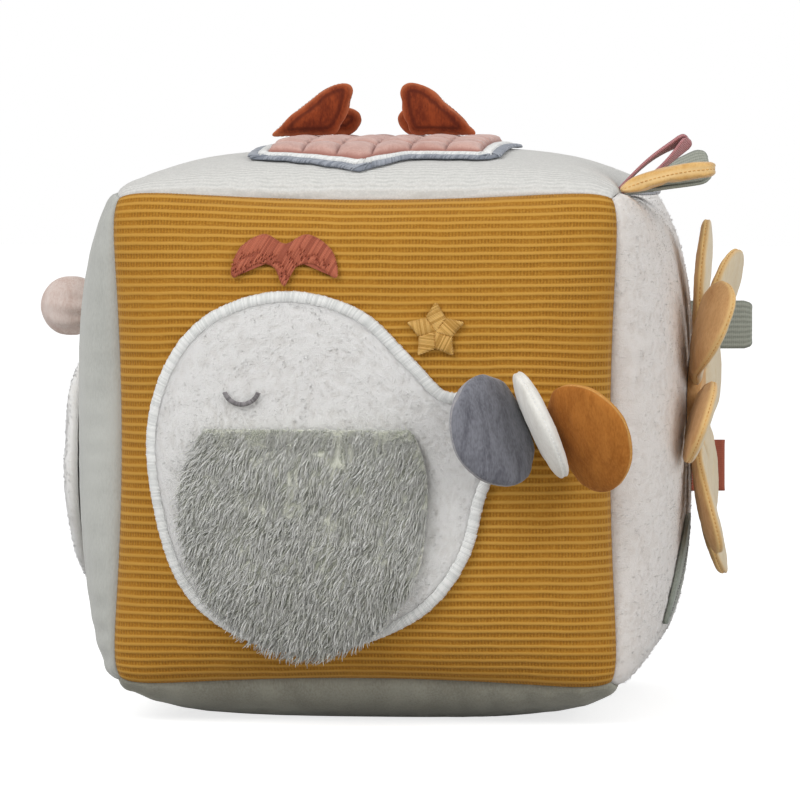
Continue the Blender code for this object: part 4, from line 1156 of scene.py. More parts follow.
def patch_pile(name, node, face, outline, middle, rings, lift, keep=None, **values):
    """Pile on the upper side of a patch, grown from lift(a, b, share) where keep(a, b) is true."""
    a, b, share = ring_points(outline, middle, rings)
    faces = [f for f in ring_shell(len(outline), rings) if max(f) < len(a)]
    if keep is not None:
        wanted = keep(a, b)
        faces = [f for f in faces if all(wanted[list(f)])]
    guide = new_piece(name + "_guide", cloth_surface(face, a, b, lift(a, b, share)), faces)
    outward = Vector(FACES[face][0])
    reworked(guide.data, lambda shape: bmesh.ops.reverse_faces(
        shape, faces=[f for f in shape.faces if f.normal.dot(outward) < 0]))
    pile_on(guide, name, node, face, **values)
    bpy.data.objects.remove(guide)


WHALE_CORNER_SHARES = (
    (-0.60, -0.06), (-0.56, 0.18), (-0.43, 0.35), (-0.22, 0.42), (-0.01, 0.37),
    (0.14, 0.23), (0.24, 0.13), (0.34, 0.12), (0.40, 0.06), (0.385, -0.04),
    (0.34, -0.16), (0.29, -0.34), (0.16, -0.50), (-0.08, -0.60), (-0.32, -0.57),
    (-0.51, -0.40),
)
FLAP_CORNER_SHARES = (
    (-0.44, 0.04), (-0.33, 0.04), (-0.20, 0.04), (-0.06, 0.04), (0.05, 0.04),
    (0.15, 0.04), (0.20, -0.08), (0.20, -0.24), (0.17, -0.40), (0.06, -0.55),
    (-0.10, -0.64), (-0.26, -0.61), (-0.40, -0.50), (-0.49, -0.34), (-0.51, -0.14),
)
SPOUT_CORNER_SHARES = (
    (-0.215, 0.465), (-0.245, 0.520), (-0.300, 0.530), (-0.365, 0.490),
    (-0.350, 0.570), (-0.280, 0.620), (-0.215, 0.590), (-0.150, 0.620),
    (-0.080, 0.570), (-0.065, 0.490), (-0.130, 0.530), (-0.185, 0.520),
)
MOTIF_SIZE = 100.0 * MM
FLAP_SEWN = 0.04 * MOTIF_SIZE
whale = closed_curve(np.array(WHALE_CORNER_SHARES) * MOTIF_SIZE, 12)
whale_middle = np.array((-0.10, -0.08)) * MOTIF_SIZE
flap = closed_curve(np.array(FLAP_CORNER_SHARES) * MOTIF_SIZE, 10)
flap[:, 1] = np.minimum(flap[:, 1], FLAP_SEWN)
flap_middle = np.array((-0.15, -0.28)) * MOTIF_SIZE
spout = closed_curve(np.array(SPOUT_CORNER_SHARES) * MOTIF_SIZE, 8)
spout_middle = np.array((-0.215, 0.555)) * MOTIF_SIZE
print("whale outline:", len(whale), "points, flap:", len(flap))

# %% [markdown]
# ## Geometry Nodes: stitches
# All embroidery here is one short thread laid again and again. The tree reads a guide mesh that has only
# points: each point is the middle of a stitch and carries its direction, the way that is up, and its
# reach. One low arch of thread is set on each point, stretched to that reach, turned, made real and given
# a tone, so that the lay of the thread shows as it does in satin stitch.

# %% Stitch tree
def stitch_tree():
    tree = tree_with_inputs("stitches", [
        ("Thread width", "Float"), ("Thread rise", "Float"), ("Stitch", "Object"), ("Cloth", "Material")])
    given = tree.nodes.new("NodeGroupInput").outputs
    along = linked(tree, "GeometryNodeInputNamedAttribute", {"Name": "along"}, data_type="FLOAT_VECTOR")
    up = linked(tree, "GeometryNodeInputNamedAttribute", {"Name": "up"}, data_type="FLOAT_VECTOR")
    reach = linked(tree, "GeometryNodeInputNamedAttribute", {"Name": "reach"}, data_type="FLOAT")
    turned = linked(tree, "FunctionNodeAxesToRotation",
                    {"Primary Axis": along.outputs[0], "Secondary Axis": up.outputs[0]},
                    primary_axis="X", secondary_axis="Z")
    size = linked(tree, "ShaderNodeCombineXYZ", {0: reach.outputs[0], 1: given["Thread width"],
                                                 2: given["Thread rise"]})
    instances = copies(tree, given["Geometry"], given["Stitch"], turned.outputs[0], size.outputs[0])
    return close_tree(tree, instances, given["Cloth"])


def thread_model(name, steps, sides):
    """One unit of thread: an arch from -0.5 to 0.5 along X, one wide and one high."""
    points = []
    for step in range(steps + 1):
        turn = math.pi * step / steps
        x = -0.5 * math.cos(turn)
        crown = math.sin(turn) ** 0.6 if 0 < step < steps else 0.0
        wide = 0.5 * (0.55 + 0.45 * crown)
        for side in range(sides):
            angle = 2 * math.pi * (side + 0.5) / sides
            points.append((x, wide * math.cos(angle), 0.72 * crown + 0.28 * math.sin(angle)))
    return tube_model(name, points, sides)


def sewn_stitches(name, node, face, starts, ends, lift, width, rise, material):
    """Stitches on a panel between pairs of places, lifted off its patches, as one piece."""
    first, last = (cloth_surface(face, *places.T, PATCH_LIFT + lift) for places in (starts, ends))
    up = cloth_normals(face, *((starts + ends) / 2).T)
    return free_stitches(name, node, first, last, up, width, rise, material)


def free_stitches(name, node, first, last, up, width, rise, material):
    along = last - first
    guide = new_piece("stitch_guide", (first + last) / 2, [])
    for label, values in (("along", along), ("up", up), ("reach", np.linalg.norm(along, axis=1))):
        store_attribute(guide, label, values)
    piece = grown(guide, stitching, name, Thread_width=width, Thread_rise=rise, Stitch=thread_arch,
                  Cloth=material)
    bpy.data.objects.remove(guide)
    assert triangles(piece) < MOST_TRIANGLES, (name, triangles(piece))
    return finish_piece(piece, None, node, stands_for=False)


def across_band(outline, near, far, pitch, slant, seed):
    """Ends of satin stitches laid across a band beside an outline, a pitch apart."""
    even = evenly(outline, pitch)
    shift = int(round(slant / pitch))
    inner = outset(even, near)
    outer = np.roll(outset(even, far), -shift, axis=0)
    uneven = joined(*(cloud(joined(even[:, 0], even[:, 1], k), pitch * 1.3, seed) for k in (0.0, 0.5)))
    way = outer - inner
    return inner + way * 0.05 * uneven[:, :1], outer + way * 0.05 * uneven[:, 1:]


def fill_lines(outline, turn_deg, pitch, longest, seed):
    """Ends of stitches that fill an outline with parallel rows."""
    turn = math.radians(turn_deg)
    turned = np.array(((math.cos(turn), math.sin(turn)), (-math.sin(turn), math.cos(turn))))
    flat = outline @ turned.T
    starts = []
    ends = []
    rows = int((flat[:, 1].max() - flat[:, 1].min()) / pitch)
    for row in range(rows):
        level = flat[:, 1].min() + (row + 0.5) * pitch
        after = np.roll(flat, -1, axis=0)
        crosses = (flat[:, 1] <= level) != (after[:, 1] <= level)
        share = (level - flat[crosses, 1]) / (after[crosses, 1] - flat[crosses, 1])
        places = np.sort(flat[crosses, 0] + share * (after[crosses, 0] - flat[crosses, 0]))
        for left, right in zip(places[::2], places[1::2]):
            parts = max(1, math.ceil((right - left) / longest))
            drift = 0.5 + 0.35 * float(lattice_hash(np.array([[row, 1, 1]]), seed)[0])
            cuts = [left] + [left + (right - left) * (k + drift) / parts for k in range(parts - 1)] + [right]
            for begin, stop in zip(cuts[:-1], cuts[1:]):
                if stop - begin > 0.5 * MM:
                    starts.append((begin, level))
                    ends.append((stop, level))
    return np.array(starts) @ turned, np.array(ends) @ turned


stitching = stitch_tree()
thread_arch = thread_model("thread_arch", 4, 5)
print("stitch:", triangles(thread_arch), "triangles")


# %% [markdown]
# ## A sewn core under each stitched band
# Satin stitch is sewn over a padded cord of cloth, so it stands up like a rope. The core is a closed ring
# with a domed section. It fills what the threads leave open, and it is the piece that stands for the
# packed band.

# %% Band cores
CORE_PITCH = 1.0 * MM
CORE_ROWS = 7


def band_core(name, face, outline, near, far, lift, rise):
    even = evenly(outline, CORE_PITCH)
    places = []
    for row in range(CORE_ROWS):
        share = row / (CORE_ROWS - 1)
        dome = rise * math.sin(math.pi * share) ** 0.5 if 0 < row < CORE_ROWS - 1 else 0.0
        places.append((share, lift + dome))
    rows = []
    for share, height in places + [(0.66, lift - 0.2 * MM), (0.33, lift - 0.2 * MM)]:
        ring = outset(even, near + (far - near) * share)
        rows.append(cloth_surface(face, ring[:, 0], ring[:, 1], height))
    count = len(even)
    faces = []
    for row in range(len(rows)):
        after_row = (row + 1) % len(rows)
        for i in range(count):
            j = (i + 1) % count
            faces.append((row * count + i, row * count + j, after_row * count + j, after_row * count + i))
    piece = new_piece(name, np.concatenate(rows), faces)
    face_outwards(piece)
    return piece

# %% [markdown]
# ## The whale
# The front carries a whale of white fleece with a satin-stitched edge. Fleece could be a flat white
# material, but its curls show at the edge of the patch. The ground gets winding curls as relief, flatter
# where the flap lies on it, and loose curls are grown over it.

# %% Fleece applique
FLEECE_RISE = 1.35 * MM
FLEECE_CURL = 0.35 * MM
CURL_SIZE = 1.8 * MM
WHALE_RINGS = 84
FLAP_GUIDE_RINGS = 40


def fleece_curls(face, seed):
    """A function for the height of fleece curls at lengths a and b on a panel."""
    return lambda a, b: curl_height(plain_surface(face, a, b), CURL_SIZE, seed)


front_curls = fleece_curls("front", 31)


def fleece_rise(a, b, share):
    pressed = np.where(inside(flap, a, b), 0.45, 1.0)
    edge = np.clip((1 - share) / 0.06, 0, 1)
    return FLEECE_RISE + FLEECE_CURL * front_curls(a, b) * pressed * (0.35 + 0.65 * edge)


sewn_patch("fleece_applique_cloth", "fleece_applique", "front", whale, whale_middle, WHALE_RINGS,
           fleece_rise, fleece_cloth, height_at=front_curls)
patch_pile("fleece_applique_curls", "fleece_applique", "front", outset(whale, -0.6 * MM), whale_middle,
           WHALE_RINGS, lambda a, b, share: PATCH_LIFT + fleece_rise(a, b, share * 0.98) - 0.1 * MM,
           keep=lambda a, b: ~inside(outset(flap, -1.5 * MM), a, b), material=fleece_pile,
           strand=curl_strand, seed=8, per_m2=550000, length=0.9 * MM, spread=0.45, toward=(0.3, 0, -1),
           lean=0.9, lock=5 * MM, lock_lean=1.6)
patch_pile("fleece_applique_pressed_curls", "fleece_applique", "front", outset(flap, -1.0 * MM),
           flap_middle, FLAP_GUIDE_RINGS,
           lambda a, b, share: PATCH_LIFT + fleece_rise(a, b, share * 0) - 0.2 * MM,
           keep=lambda a, b: inside(outset(whale, -1 * MM), a, b), material=fleece_pile,
           strand=curl_strand, seed=9, per_m2=420000, length=1.3 * MM, spread=0.4, toward=(0.3, 0, -1),
           lean=1.2, lock=7 * MM, lock_lean=1.2)

# %% [markdown]
# ## Embroidery on the front
# The border, the fountain, the star and the closed eye are all thread. The border's stitches lie across
# its core, the fountain is filled with short upright rows and the star with rows across each arm. A star
# filled in one direction would be simpler, but hand-guided machines turn the thread from arm to arm, and
# that turn is what makes it glint.

# %% Border, fountain, star and eye
BORDER_WIDTH = 2.4 * MM
BORDER_RISE = 1.4 * MM
PATCH_GAP = 0.3 * MM
THREAD_BASE = 0.75 * MM
BASE_RINGS = 4
ROW_PITCH = 0.40 * MM
ROW_WIDTH = 0.50 * MM
border_core = band_core("satin_border_core", "front", whale, -0.3 * MM, PATCH_GAP + BORDER_WIDTH, PATCH_LIFT,
                        BORDER_RISE)
finish_piece(border_core, satin_thread, "satin_border")
starts, ends = across_band(whale, -0.9 * MM, PATCH_GAP + BORDER_WIDTH + 0.2 * MM, 0.42 * MM, 0.5 * MM, 2)
sewn_stitches("satin_border_stitches", "satin_border", "front", starts, ends, 0.35 * MM, 0.55 * MM,
              1.65 * MM, satin_thread)

sewn_patch("rust_stitched_patch_base", "rust_stitched_patch", "front", spout, spout_middle, BASE_RINGS,
           lambda a, b, share: THREAD_BASE, rust_thread)
starts, ends = fill_lines(outset(spout, 0.25 * MM), 62, ROW_PITCH, 5.5 * MM, 3)
sewn_stitches("rust_stitched_rows", "rust_stitched_patch", "front", starts, ends, 0.55 * MM, ROW_WIDTH,
              THREAD_BASE, rust_thread)

STAR_RADIUS = 8.5 * MM
STAR_HOLLOW_RADIUS = 5.0 * MM
STAR_POINTS = 5
star_middle = np.array((0.225, 0.33)) * MOTIF_SIZE
turns = math.pi * np.arange(2 * STAR_POINTS) / STAR_POINTS
radii = np.where(np.arange(2 * STAR_POINTS) % 2, STAR_HOLLOW_RADIUS, STAR_RADIUS)
star_corners = star_middle + radii[:, None] * joined(np.sin(turns), np.cos(turns))
sewn_patch("gold_stitched_patch_base", "gold_stitched_patch", "front", closed_curve(star_corners, 6),
           star_middle, BASE_RINGS, lambda a, b, share: THREAD_BASE + 0.3 * MM * (1 - share), gold_thread)
rows = []
for arm in range(STAR_POINTS):
    left, tip, right = (star_corners[(2 * arm + k) % (2 * STAR_POINTS)] for k in (-1, 0, 1))
    kite = np.array((star_middle, left, tip, right))
    rows.append(fill_lines(outset(kite, 0.15 * MM), 72 * -arm + 28, ROW_PITCH, 9 * MM, 5))
starts, ends = (np.concatenate(parts) for parts in zip(*rows))
sewn_stitches("gold_stitched_rows", "gold_stitched_patch", "front", starts, ends, 0.6 * MM, ROW_WIDTH,
              THREAD_BASE, gold_thread)

EYE_PLACE = np.array((-0.335, 0.165)) * MOTIF_SIZE
EYE_RADIUS = 5.2 * MM
EYE_HALF_STITCH = 0.7 * MM
sweep = np.radians(np.linspace(200, 340, 34))
spoke = joined(np.cos(sweep), np.sin(sweep))
rim = EYE_PLACE + EYE_RADIUS * spoke
sewn_stitches("closed_eye_stitches", "fleece_applique", "front", rim - EYE_HALF_STITCH * spoke,
              rim + EYE_HALF_STITCH * spoke, 2.5 * MM, 0.55 * MM, 0.8 * MM, grey_thread)

# %% [markdown]
# ## The plush flap
# The sage wave is a loose flap, sewn along its upper edge, that lifts to show the fleece. Its plush is
# long and brushed down and to the left, and its cloth has low wavy ridges that run the same way, as combed
# locks do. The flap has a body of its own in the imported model, so every part of it rides there and lifts
# with it.

# %% Plush flap
FLAP_LIFT = PATCH_LIFT + 2.4 * MM
FLAP_THICKNESS = 3.6 * MM
FLAP_PITCH = 0.55 * MM
FLAP_RINGS = 70
FLAP_EDGE = 6 * MM
LOCK_RISE = 0.6 * MM
LOCK_SIZE = 1.15 * MM


def lock_height(a, b):
    """Wavy ridges from 0 to 1 that run the way the plush is brushed."""
    along = -(0.5 * a + b) / 1.118
    across = (a - 0.5 * b) / 1.118
    flat = joined(across, along, 0.0)
    sway = 2.6 * MM * cloud(flat, 11 * MM, 41) + 0.8 * MM * cloud(flat, 4 * MM, 42)
    ridge = 1 - 1.8 * np.abs(cloud(joined(across + sway, 0.22 * along, 0.0), LOCK_SIZE, 43))
    return np.clip(0.75 * ridge + 0.35 * (0.5 + 0.5 * cloud(flat, 6 * MM, 44)), 0, 1)


def flap_rise(a, b, share):
    curls = cloud(joined(a, b * 0.5, 0.0), 5 * MM, 12)
    crown = FLAP_THICKNESS * (0.45 + 0.60 * np.sqrt(np.maximum(0, 1 - share ** 2)))
    return crown + 0.55 * MM * curls + LOCK_RISE * lock_height(a, b)


sewn_patch("plush_flap_cloth", "plush_flap", "front", evenly(flap, FLAP_PITCH), flap_middle, FLAP_RINGS,
           flap_rise, plush_cloth, lift=FLAP_LIFT, height_at=lock_height)
for order, part in enumerate(("under", "over")):
    patch_pile("plush_flap_strands_" + part, "plush_flap", "front", outset(flap, 0.2 * MM), flap_middle,
               FLAP_GUIDE_RINGS, lambda a, b, share: FLAP_LIFT + flap_rise(a, b, share) - 0.2 * MM,
               material=plush_pile, strand=plush_strand, seed=10 + order, per_m2=950000, length=5.0 * MM,
               spread=0.4, toward=(-0.6, 0, -1), lean=3.4, lock=8 * MM, lock_lean=4.6)
patch_pile("plush_flap_edge_strands", "plush_flap", "front", outset(flap, 0.2 * MM), flap_middle,
           FLAP_GUIDE_RINGS, lambda a, b, share: FLAP_LIFT + flap_rise(a, b, share) - 0.8 * MM,
           keep=lambda a, b: b > FLAP_SEWN - FLAP_EDGE, material=plush_pile, strand=plush_strand, seed=14,
           per_m2=5000000, length=2.6 * MM, spread=0.3, toward=(-0.3, 0, -1), lean=0.4, lock=6 * MM,
           lock_lean=1.2)

# %% [markdown]
# ## Where the loose pieces stand
# Each pad, petal and ribbon stands in a frame of its own: X runs from its sewn edge outward, Y along that
# edge, and Z out of its upper face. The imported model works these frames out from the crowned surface, and
# this cell does the same again, from the same few sizes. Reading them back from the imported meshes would
# be shorter, but a bent pad doesn't tell where its sewn edge points.

# %% Frames of the loose pieces
PAD_RIM = 1.1 * MM
FOLD_RADIUS = 0.7 * MM
RIBBON_THICKNESS = 0.7 * MM


def place_on(face, a, b, lift=0.0):
    point = plain_surface(face, np.array([a], float), np.array([b], float))[0]
    return Vector(point) + Vector(FACES[face][0]) * lift


def plain_normal(face, a, b):
    side = place_on(face, a + PATCH_LIFT, b) - place_on(face, a - PATCH_LIFT, b)
    rise = place_on(face, a, b + PATCH_LIFT) - place_on(face, a, b - PATCH_LIFT)
    return side.cross(rise).normalized()


def frame_at(place, way, out):
    x_axis = way.normalized()
    z_axis = (out - x_axis * out.dot(x_axis)).normalized()
    y_axis = z_axis.cross(x_axis)
    return Matrix.Translation(place) @ Matrix((x_axis, y_axis, z_axis)).transposed().to_4x4()


def seam_tab_frame(face_a, face_b, along_share, thickness, tilt_deg):
    """Frame of a tab that leaves the seam between two panels toward face_a."""
    tilt = math.radians(tilt_deg)
    normal_a, right, up = (Vector(axis) for axis in FACES[face_a])
    normal_b = Vector(FACES[face_b][0])
    if abs(normal_b.dot(up)) > 0.5:
        ridge = place_on(face_a, along_share * HALF, normal_b.dot(up) * HALF)
    else:
        ridge = place_on(face_a, normal_b.dot(right) * HALF, along_share * HALF)
    ridge = ridge - normal_a * SEAM_SHIFT
    clear = SEAM_SHIFT + PIECE_GAP
    place = ridge + normal_a * (clear - thickness / 2 * math.sin(tilt))
    place += normal_b * (clear + thickness / 2 * math.cos(tilt))
    way = normal_a * math.cos(tilt) + normal_b * math.sin(tilt)
    return frame_at(place, way, normal_b * math.cos(tilt) - normal_a * math.sin(tilt))


def set_in(frame, points):
    """Points given in a frame of their own, moved to their true place."""
    return points @ np.array(frame.to_3x3()).T + np.array(frame.translation)


TAIL_LEAN_DEG = 24
TAIL_PLACE = (0.518 * MOTIF_SIZE, 0.058 * MOTIF_SIZE)
TAIL_STEP = 3.7 * MM
TAIL_SLIDE = 32.0 * MM


def tail_pad_frame(order, slide_share, fan_deg):
    fan = math.radians(fan_deg)
    lean = math.radians(TAIL_LEAN_DEG)
    across, along = TAIL_PLACE
    normal = plain_normal("front", across, along)
    side = Vector((math.cos(lean), 0, math.sin(lean)))
    side = (side - normal * side.dot(normal)).normalized()
    step = order * TAIL_STEP
    slide = slide_share * TAIL_SLIDE
    place = place_on("front", across + step * side.x - slide * side.z,
                     along + step * side.z + slide * side.x)
    place += normal * (PIECE_GAP + PAD_RIM / 2 * abs(math.sin(fan)))
    return frame_at(place, normal * math.cos(fan) + side * math.sin(fan),
                    side * math.cos(fan) - normal * math.sin(fan))


QUILT_WIDTH = 63.0 * MM
QUILT_DEPTH = 77.0 * MM
QUILT_PLACE = (0.008 * HALF, -0.180 * HALF)
QUILT_TOP = 2.8 * MM


def quilt_frame(width_share, depth_share, lean):
    a = QUILT_PLACE[0] + width_share * QUILT_WIDTH
    b = QUILT_PLACE[1] + depth_share * QUILT_DEPTH
    place = place_on("top", a, b, PATCH_LIFT + PIECE_GAP + QUILT_TOP)
    return frame_at(place, plain_normal("top", a, b) + Vector((0, lean, 0)), Vector((0, -1, 0)))


FLOWER_RADIUS = 13.0 * MM
FLOWER_RISE = 9.3 * MM
FLOWER_THICKNESS = 4.6 * MM
PETALS = 8
PETAL_LIFTS_DEG = (2, -2, 6, 1, 2, 0, 1, 9)
PETAL_ROLLS_DEG = (0, 0, -20, 0, 0, 0, 0, 0)
PETAL_CURLS_DEG = (4, 40, -2, 20, 16, 6, 6, 14)


def petal_frame(number):
    out = plain_normal("right", 0, FLOWER_RISE)
    right = Vector(FACES["right"][1])
    up = Vector((0, 0, 1))
    up = (up - out * up.dot(out)).normalized()
    middle = place_on("right", 0, FLOWER_RISE, PATCH_LIFT + 0.62 * FLOWER_THICKNESS)
    lift = math.radians(PETAL_LIFTS_DEG[number - 1])
    roll = math.radians(PETAL_ROLLS_DEG[number - 1])
    turn = math.radians(8 + 45 * (number - 1))
    flat = up * math.cos(turn) - right * math.sin(turn)
    way = flat * math.cos(lift) + out * math.sin(lift)
    face_out = (out * math.cos(lift) - flat * math.sin(lift)) * math.cos(roll)
    face_out += flat.cross(out) * math.sin(roll)
    return frame_at(middle + flat * (FLOWER_RADIUS + 2 * PIECE_GAP), way, face_out)


print("tail pads stand at", [round(c * 1000) for c in tail_pad_frame(0, 0, 0).translation], "mm")

# %% [markdown]
# ## Padded pieces
# Ears, tail pads, petals and the yellow tab are all made alike: two thick layers of velour sewn face to
# face round the edge, turned and filled. In section that is two round lips with the seam sunk between
# them. So a pad is built as rings that run from the middle of one face over its lip, through the seam and
# back over the other lip. The ring in the seam is known by its place, which the stitches need later.

# %% Pad shells
PETAL_HALF_SHARES = ((0.0, 0.36), (0.18, 0.56), (0.40, 0.86), (0.62, 1.0), (0.82, 0.84), (0.95, 0.46))
EAR_HALF_SHARES = ((0.0, 0.90), (0.20, 0.97), (0.42, 0.88), (0.66, 0.68), (0.84, 0.52), (0.96, 0.28))
ROUND_HALF_SHARES = ((0.0, 0.30), (0.12, 0.70), (0.36, 0.97), (0.60, 1.0), (0.82, 0.78), (0.95, 0.42))
STRAP_HALF_SHARES = ((0.0, 0.90), (0.15, 0.98), (0.40, 1.0), (0.65, 1.0), (0.88, 0.98), (0.99, 0.86))
RING_SHARES = (0.0, 0.16, 0.32, 0.48, 0.62, 0.74, 0.85, 0.92, 0.98, 1.01)
LIP_SHARES = (1, 1, 1, 1, 1, 1, 1, 0.97, 0.84, 0.55)
SEAM_RING_SHARE = 0.985
OUTLINE_POINTS = 44
ROOT_SHARE = 0.22


def capped_rings(count, rings):
    """Faces of a closed form made of a point, rings of count points each, and a last point."""
    faces = []
    for i in range(count):
        j = (i + 1) % count
        faces.append((0, 1 + i, 1 + j))
        for ring in range(rings - 1):
            at = 1 + ring * count
            faces.append((at + i, at + count + i, at + count + j, at + j))
        last = 1 + (rings - 1) * count
        faces.append((last + i, last + count, last + j))
    return faces


def pad_shell(name, half_shares, size, rim, frame, cloth, curl_deg=0.0, cup=0.0, slant=0.0, under=None):
    """A filled pad of length, width and thickness with two lips of cloth round its seam."""
    length, width, thickness = size
    corners = [(s * length, -w * width / 2) for s, w in half_shares] + [(length, 0.0)]
    corners += [(s * length, w * width / 2) for s, w in reversed(half_shares)]
    outline = closed_curve(corners, 12)
    outline[:, 0] = np.maximum(0.0, outline[:, 0])
    around, point_at = walked(outline)
    outline = point_at(np.linspace(0, around, OUTLINE_POINTS, endpoint=False))
    middle = np.array((length / 2, 0.0))
    upper, lower = ([(share, side * lip) for share, lip in zip(RING_SHARES, LIP_SHARES)] for side in (1, -1))
    rows = upper + [(SEAM_RING_SHARE, 0.0)] + lower[::-1]
    local = []
    for share, lip in rows:
        ring = middle + (outline - middle) * share if share > 0 else middle[None]
        swell = math.sqrt(max(0.0, 1 - share * share))
        a, b = ring.T
        root = np.clip(a / (ROOT_SHARE * length), 0, 1)
        edge = PAD_RIM + (rim - PAD_RIM) * root
        height = lip * (edge + (thickness - edge) * swell * (0.4 + 0.6 * root)) / 2
        height = height + cup * width * (2 * b / width) ** 2 * (a / length)
        local.append(joined(a, b + slant * a, height))
    local = np.concatenate(local)
    bend = math.radians(curl_deg) / length
    if bend:
        turn = local[:, 0] * bend
        reach = 1 / bend - local[:, 2]
        local = joined(reach * np.sin(turn), local[:, 1], 1 / bend - reach * np.cos(turn))
    piece = new_piece(name, set_in(frame, local), capped_rings(OUTLINE_POINTS, len(rows) - 2))
    face_outwards(piece)
    for material in (cloth, under or cloth):
        piece.data.materials.append(material)
    far_side = 1 + len(RING_SHARES) * OUTLINE_POINTS
    marks = np.zeros(len(local))
    marks[far_side - OUTLINE_POINTS:far_side] = 1
    store_attribute(piece, "seam", marks)
    for polygon in piece.data.polygons:
        polygon.material_index = 0 if max(polygon.vertices) < far_side else 1
    return piece


def seam_points(piece):
    return np.nonzero(numbers(piece.data.attributes["seam"].data, "value", 1) > 0.99)[0]


def put_coordinates(piece, points):
    piece.data.vertices.foreach_set("co", np.asarray(points, float).ravel())
    piece.data.update()


# %% [markdown]
# ## A short cloth simulation for the pads
# The pads are blown up in two batches: the ears and tail pads, then the petals and the tab. Cloth behaves
# badly at a few centimetres, because its thread stiffness and its contact distances are meant for garments,
# so each pad is made twenty times larger for the simulation and shrunk again after it. The seam is pinned,
# the cloth is cut a little larger than the pad so that it wrinkles along the seam, and no point may move
# further than a cap.

# %% Cloth simulation
SIM_SCALE = 20.0
SIM_FRAMES = 20
EXTRA_CLOTH = 0.05
CLOTH_SETTINGS = {"quality": 5, "mass": 0.25, "tension_stiffness": 18, "compression_stiffness": 18,
                  "shear_stiffness": 6, "bending_stiffness": 0.6, "use_pressure": True,
                  "shrink_min": -EXTRA_CLOTH, "vertex_group_mass": "sewn"}


def plumped(pads, pressure, cap):
    """Swells the pads in one simulation and keeps the result as plain meshes."""
    resting = {}
    for piece in pads:
        resting[piece.name] = numbers(piece.data.vertices, "co")
        put_coordinates(piece, resting[piece.name] * SIM_SCALE)
        group = piece.vertex_groups.new(name="sewn")
        group.add([int(i) for i in seam_points(piece)], 1.0, "REPLACE")
        cloth = piece.modifiers.new("swell", "CLOTH")
        for name, value in CLOTH_SETTINGS.items():
            setattr(cloth.settings, name, value)
        cloth.settings.uniform_pressure_force = pressure
        cloth.settings.effector_weights.gravity = 0
        cloth.collision_settings.use_self_collision = False
    for step in range(1, SIM_FRAMES + 1):
        scene.frame_set(step)
    graph = bpy.context.evaluated_depsgraph_get()
    furthest = 0.0
    for piece in pads:
        moved = numbers(piece.evaluated_get(graph).to_mesh().vertices, "co")
        piece.evaluated_get(graph).to_mesh_clear()
        shift = moved / SIM_SCALE - resting[piece.name]
        length = np.linalg.norm(shift, axis=1, keepdims=True)
        furthest = max(furthest, float(length.max()))
        piece.modifiers.clear()
        put_coordinates(piece, resting[piece.name] + shift * np.minimum(1, cap / np.maximum(length, 1e-9)))
    scene.frame_set(1)
    print("  simulated", len(pads), "pads, furthest move %.2f mm" % (furthest / MM))


# %% Seam and rim of a pad
SEAM_STITCH = 0.85 * MM
SEAM_STITCH_GAP = 0.45 * MM


def dressed_pad(piece, rim_width, seam_thread):
    """Rounds the mesh, notes each point's nearness to the seam for the painted rim colour, sews the seam and
    finishes the pad.
    """
    node = piece.name.removesuffix("_pad")
    loop = seam_points(piece)
    fine = piece.modifiers.new("fine", "SUBSURF")
    fine.levels = fine.render_levels = 1
    piece = baked(piece)
    points = numbers(piece.data.vertices, "co")
    around, point_at = walked(points[loop])
    dense = point_at(np.arange(0, around, 0.7 * MM))
    nearest = np.linalg.norm(points[:, None, :] - dense[None], axis=-1).min(axis=1)
    store_attribute(piece, "rim", np.exp(-(nearest / rim_width) ** 2))
    normals = numbers(piece.data.vertices, "normal")
    nap = cloud(points, 1.0 * MM, 17) * 0.07 * MM + cloud(points, 4.5 * MM, 19) * 0.20 * MM
    put_coordinates(piece, points + normals * (nap * np.clip(nearest / MM, 0.3, 1))[:, None])
    piece.data.shade_smooth()
    finish_piece(piece, None, node)
    begins = np.arange(0, around - SEAM_STITCH, SEAM_STITCH + SEAM_STITCH_GAP)
    first = point_at(begins)
    last = point_at(begins + SEAM_STITCH)
    up = first - points.mean(axis=0)
    along = unit(last - first)
    up = unit(up - along * np.sum(up * along, axis=1, keepdims=True))
    free_stitches(piece.name + "_seam", node, first, last, up, 0.30 * MM, 0.16 * MM, seam_thread)


orange_thread = thread("orange_seam_thread", "#E3AC5C", "#C88C40")
dark_thread = thread("rust_seam_thread", "#7A2E1A", "#4F190C")
pale_thread = thread("pale_seam_thread", "#B9B6B5", "#8B898B")
cream_velour = velour("cream_velour", "#E8D8BA", "#DDC8A2", edge="#E6BE80", stroke=11 * MM, sheen=0.3)

EAR_SIZE = (15.5 * MM, 19.0 * MM, 5.5 * MM)
LOBE_SIZE = (8.2 * MM, 10.0 * MM, 4.5 * MM)
TAIL_SIZE = (31.0 * MM, 32.0 * MM, 5.8 * MM)
PETAL_SIZE = (41.0 * MM, 25.0 * MM, 4.4 * MM)
YELLOW_SIZE = (28.0 * MM, 14.0 * MM, 4.6 * MM)
pads = []
petals = []
for side, sign, slant, ear_share, lobe_share in (("left", 1, 40, -0.444, -0.277),
                                                 ("right", -1, 33, 0.246, 0.098)):
    pads.append(pad_shell("ear_%s_pad" % side, EAR_HALF_SHARES, EAR_SIZE, 2.4 * MM,
                          quilt_frame(ear_share, 0.234, -0.10), terracotta_velour, -12, 0.06,
                          -sign * math.tan(math.radians(slant))))
    pads.append(pad_shell("ear_lobe_%s_pad" % side, ROUND_HALF_SHARES, LOBE_SIZE, 2.2 * MM,
                          quilt_frame(lobe_share, 0.380, 0.12), terracotta_velour,
                          slant=-sign * math.tan(math.radians(12))))
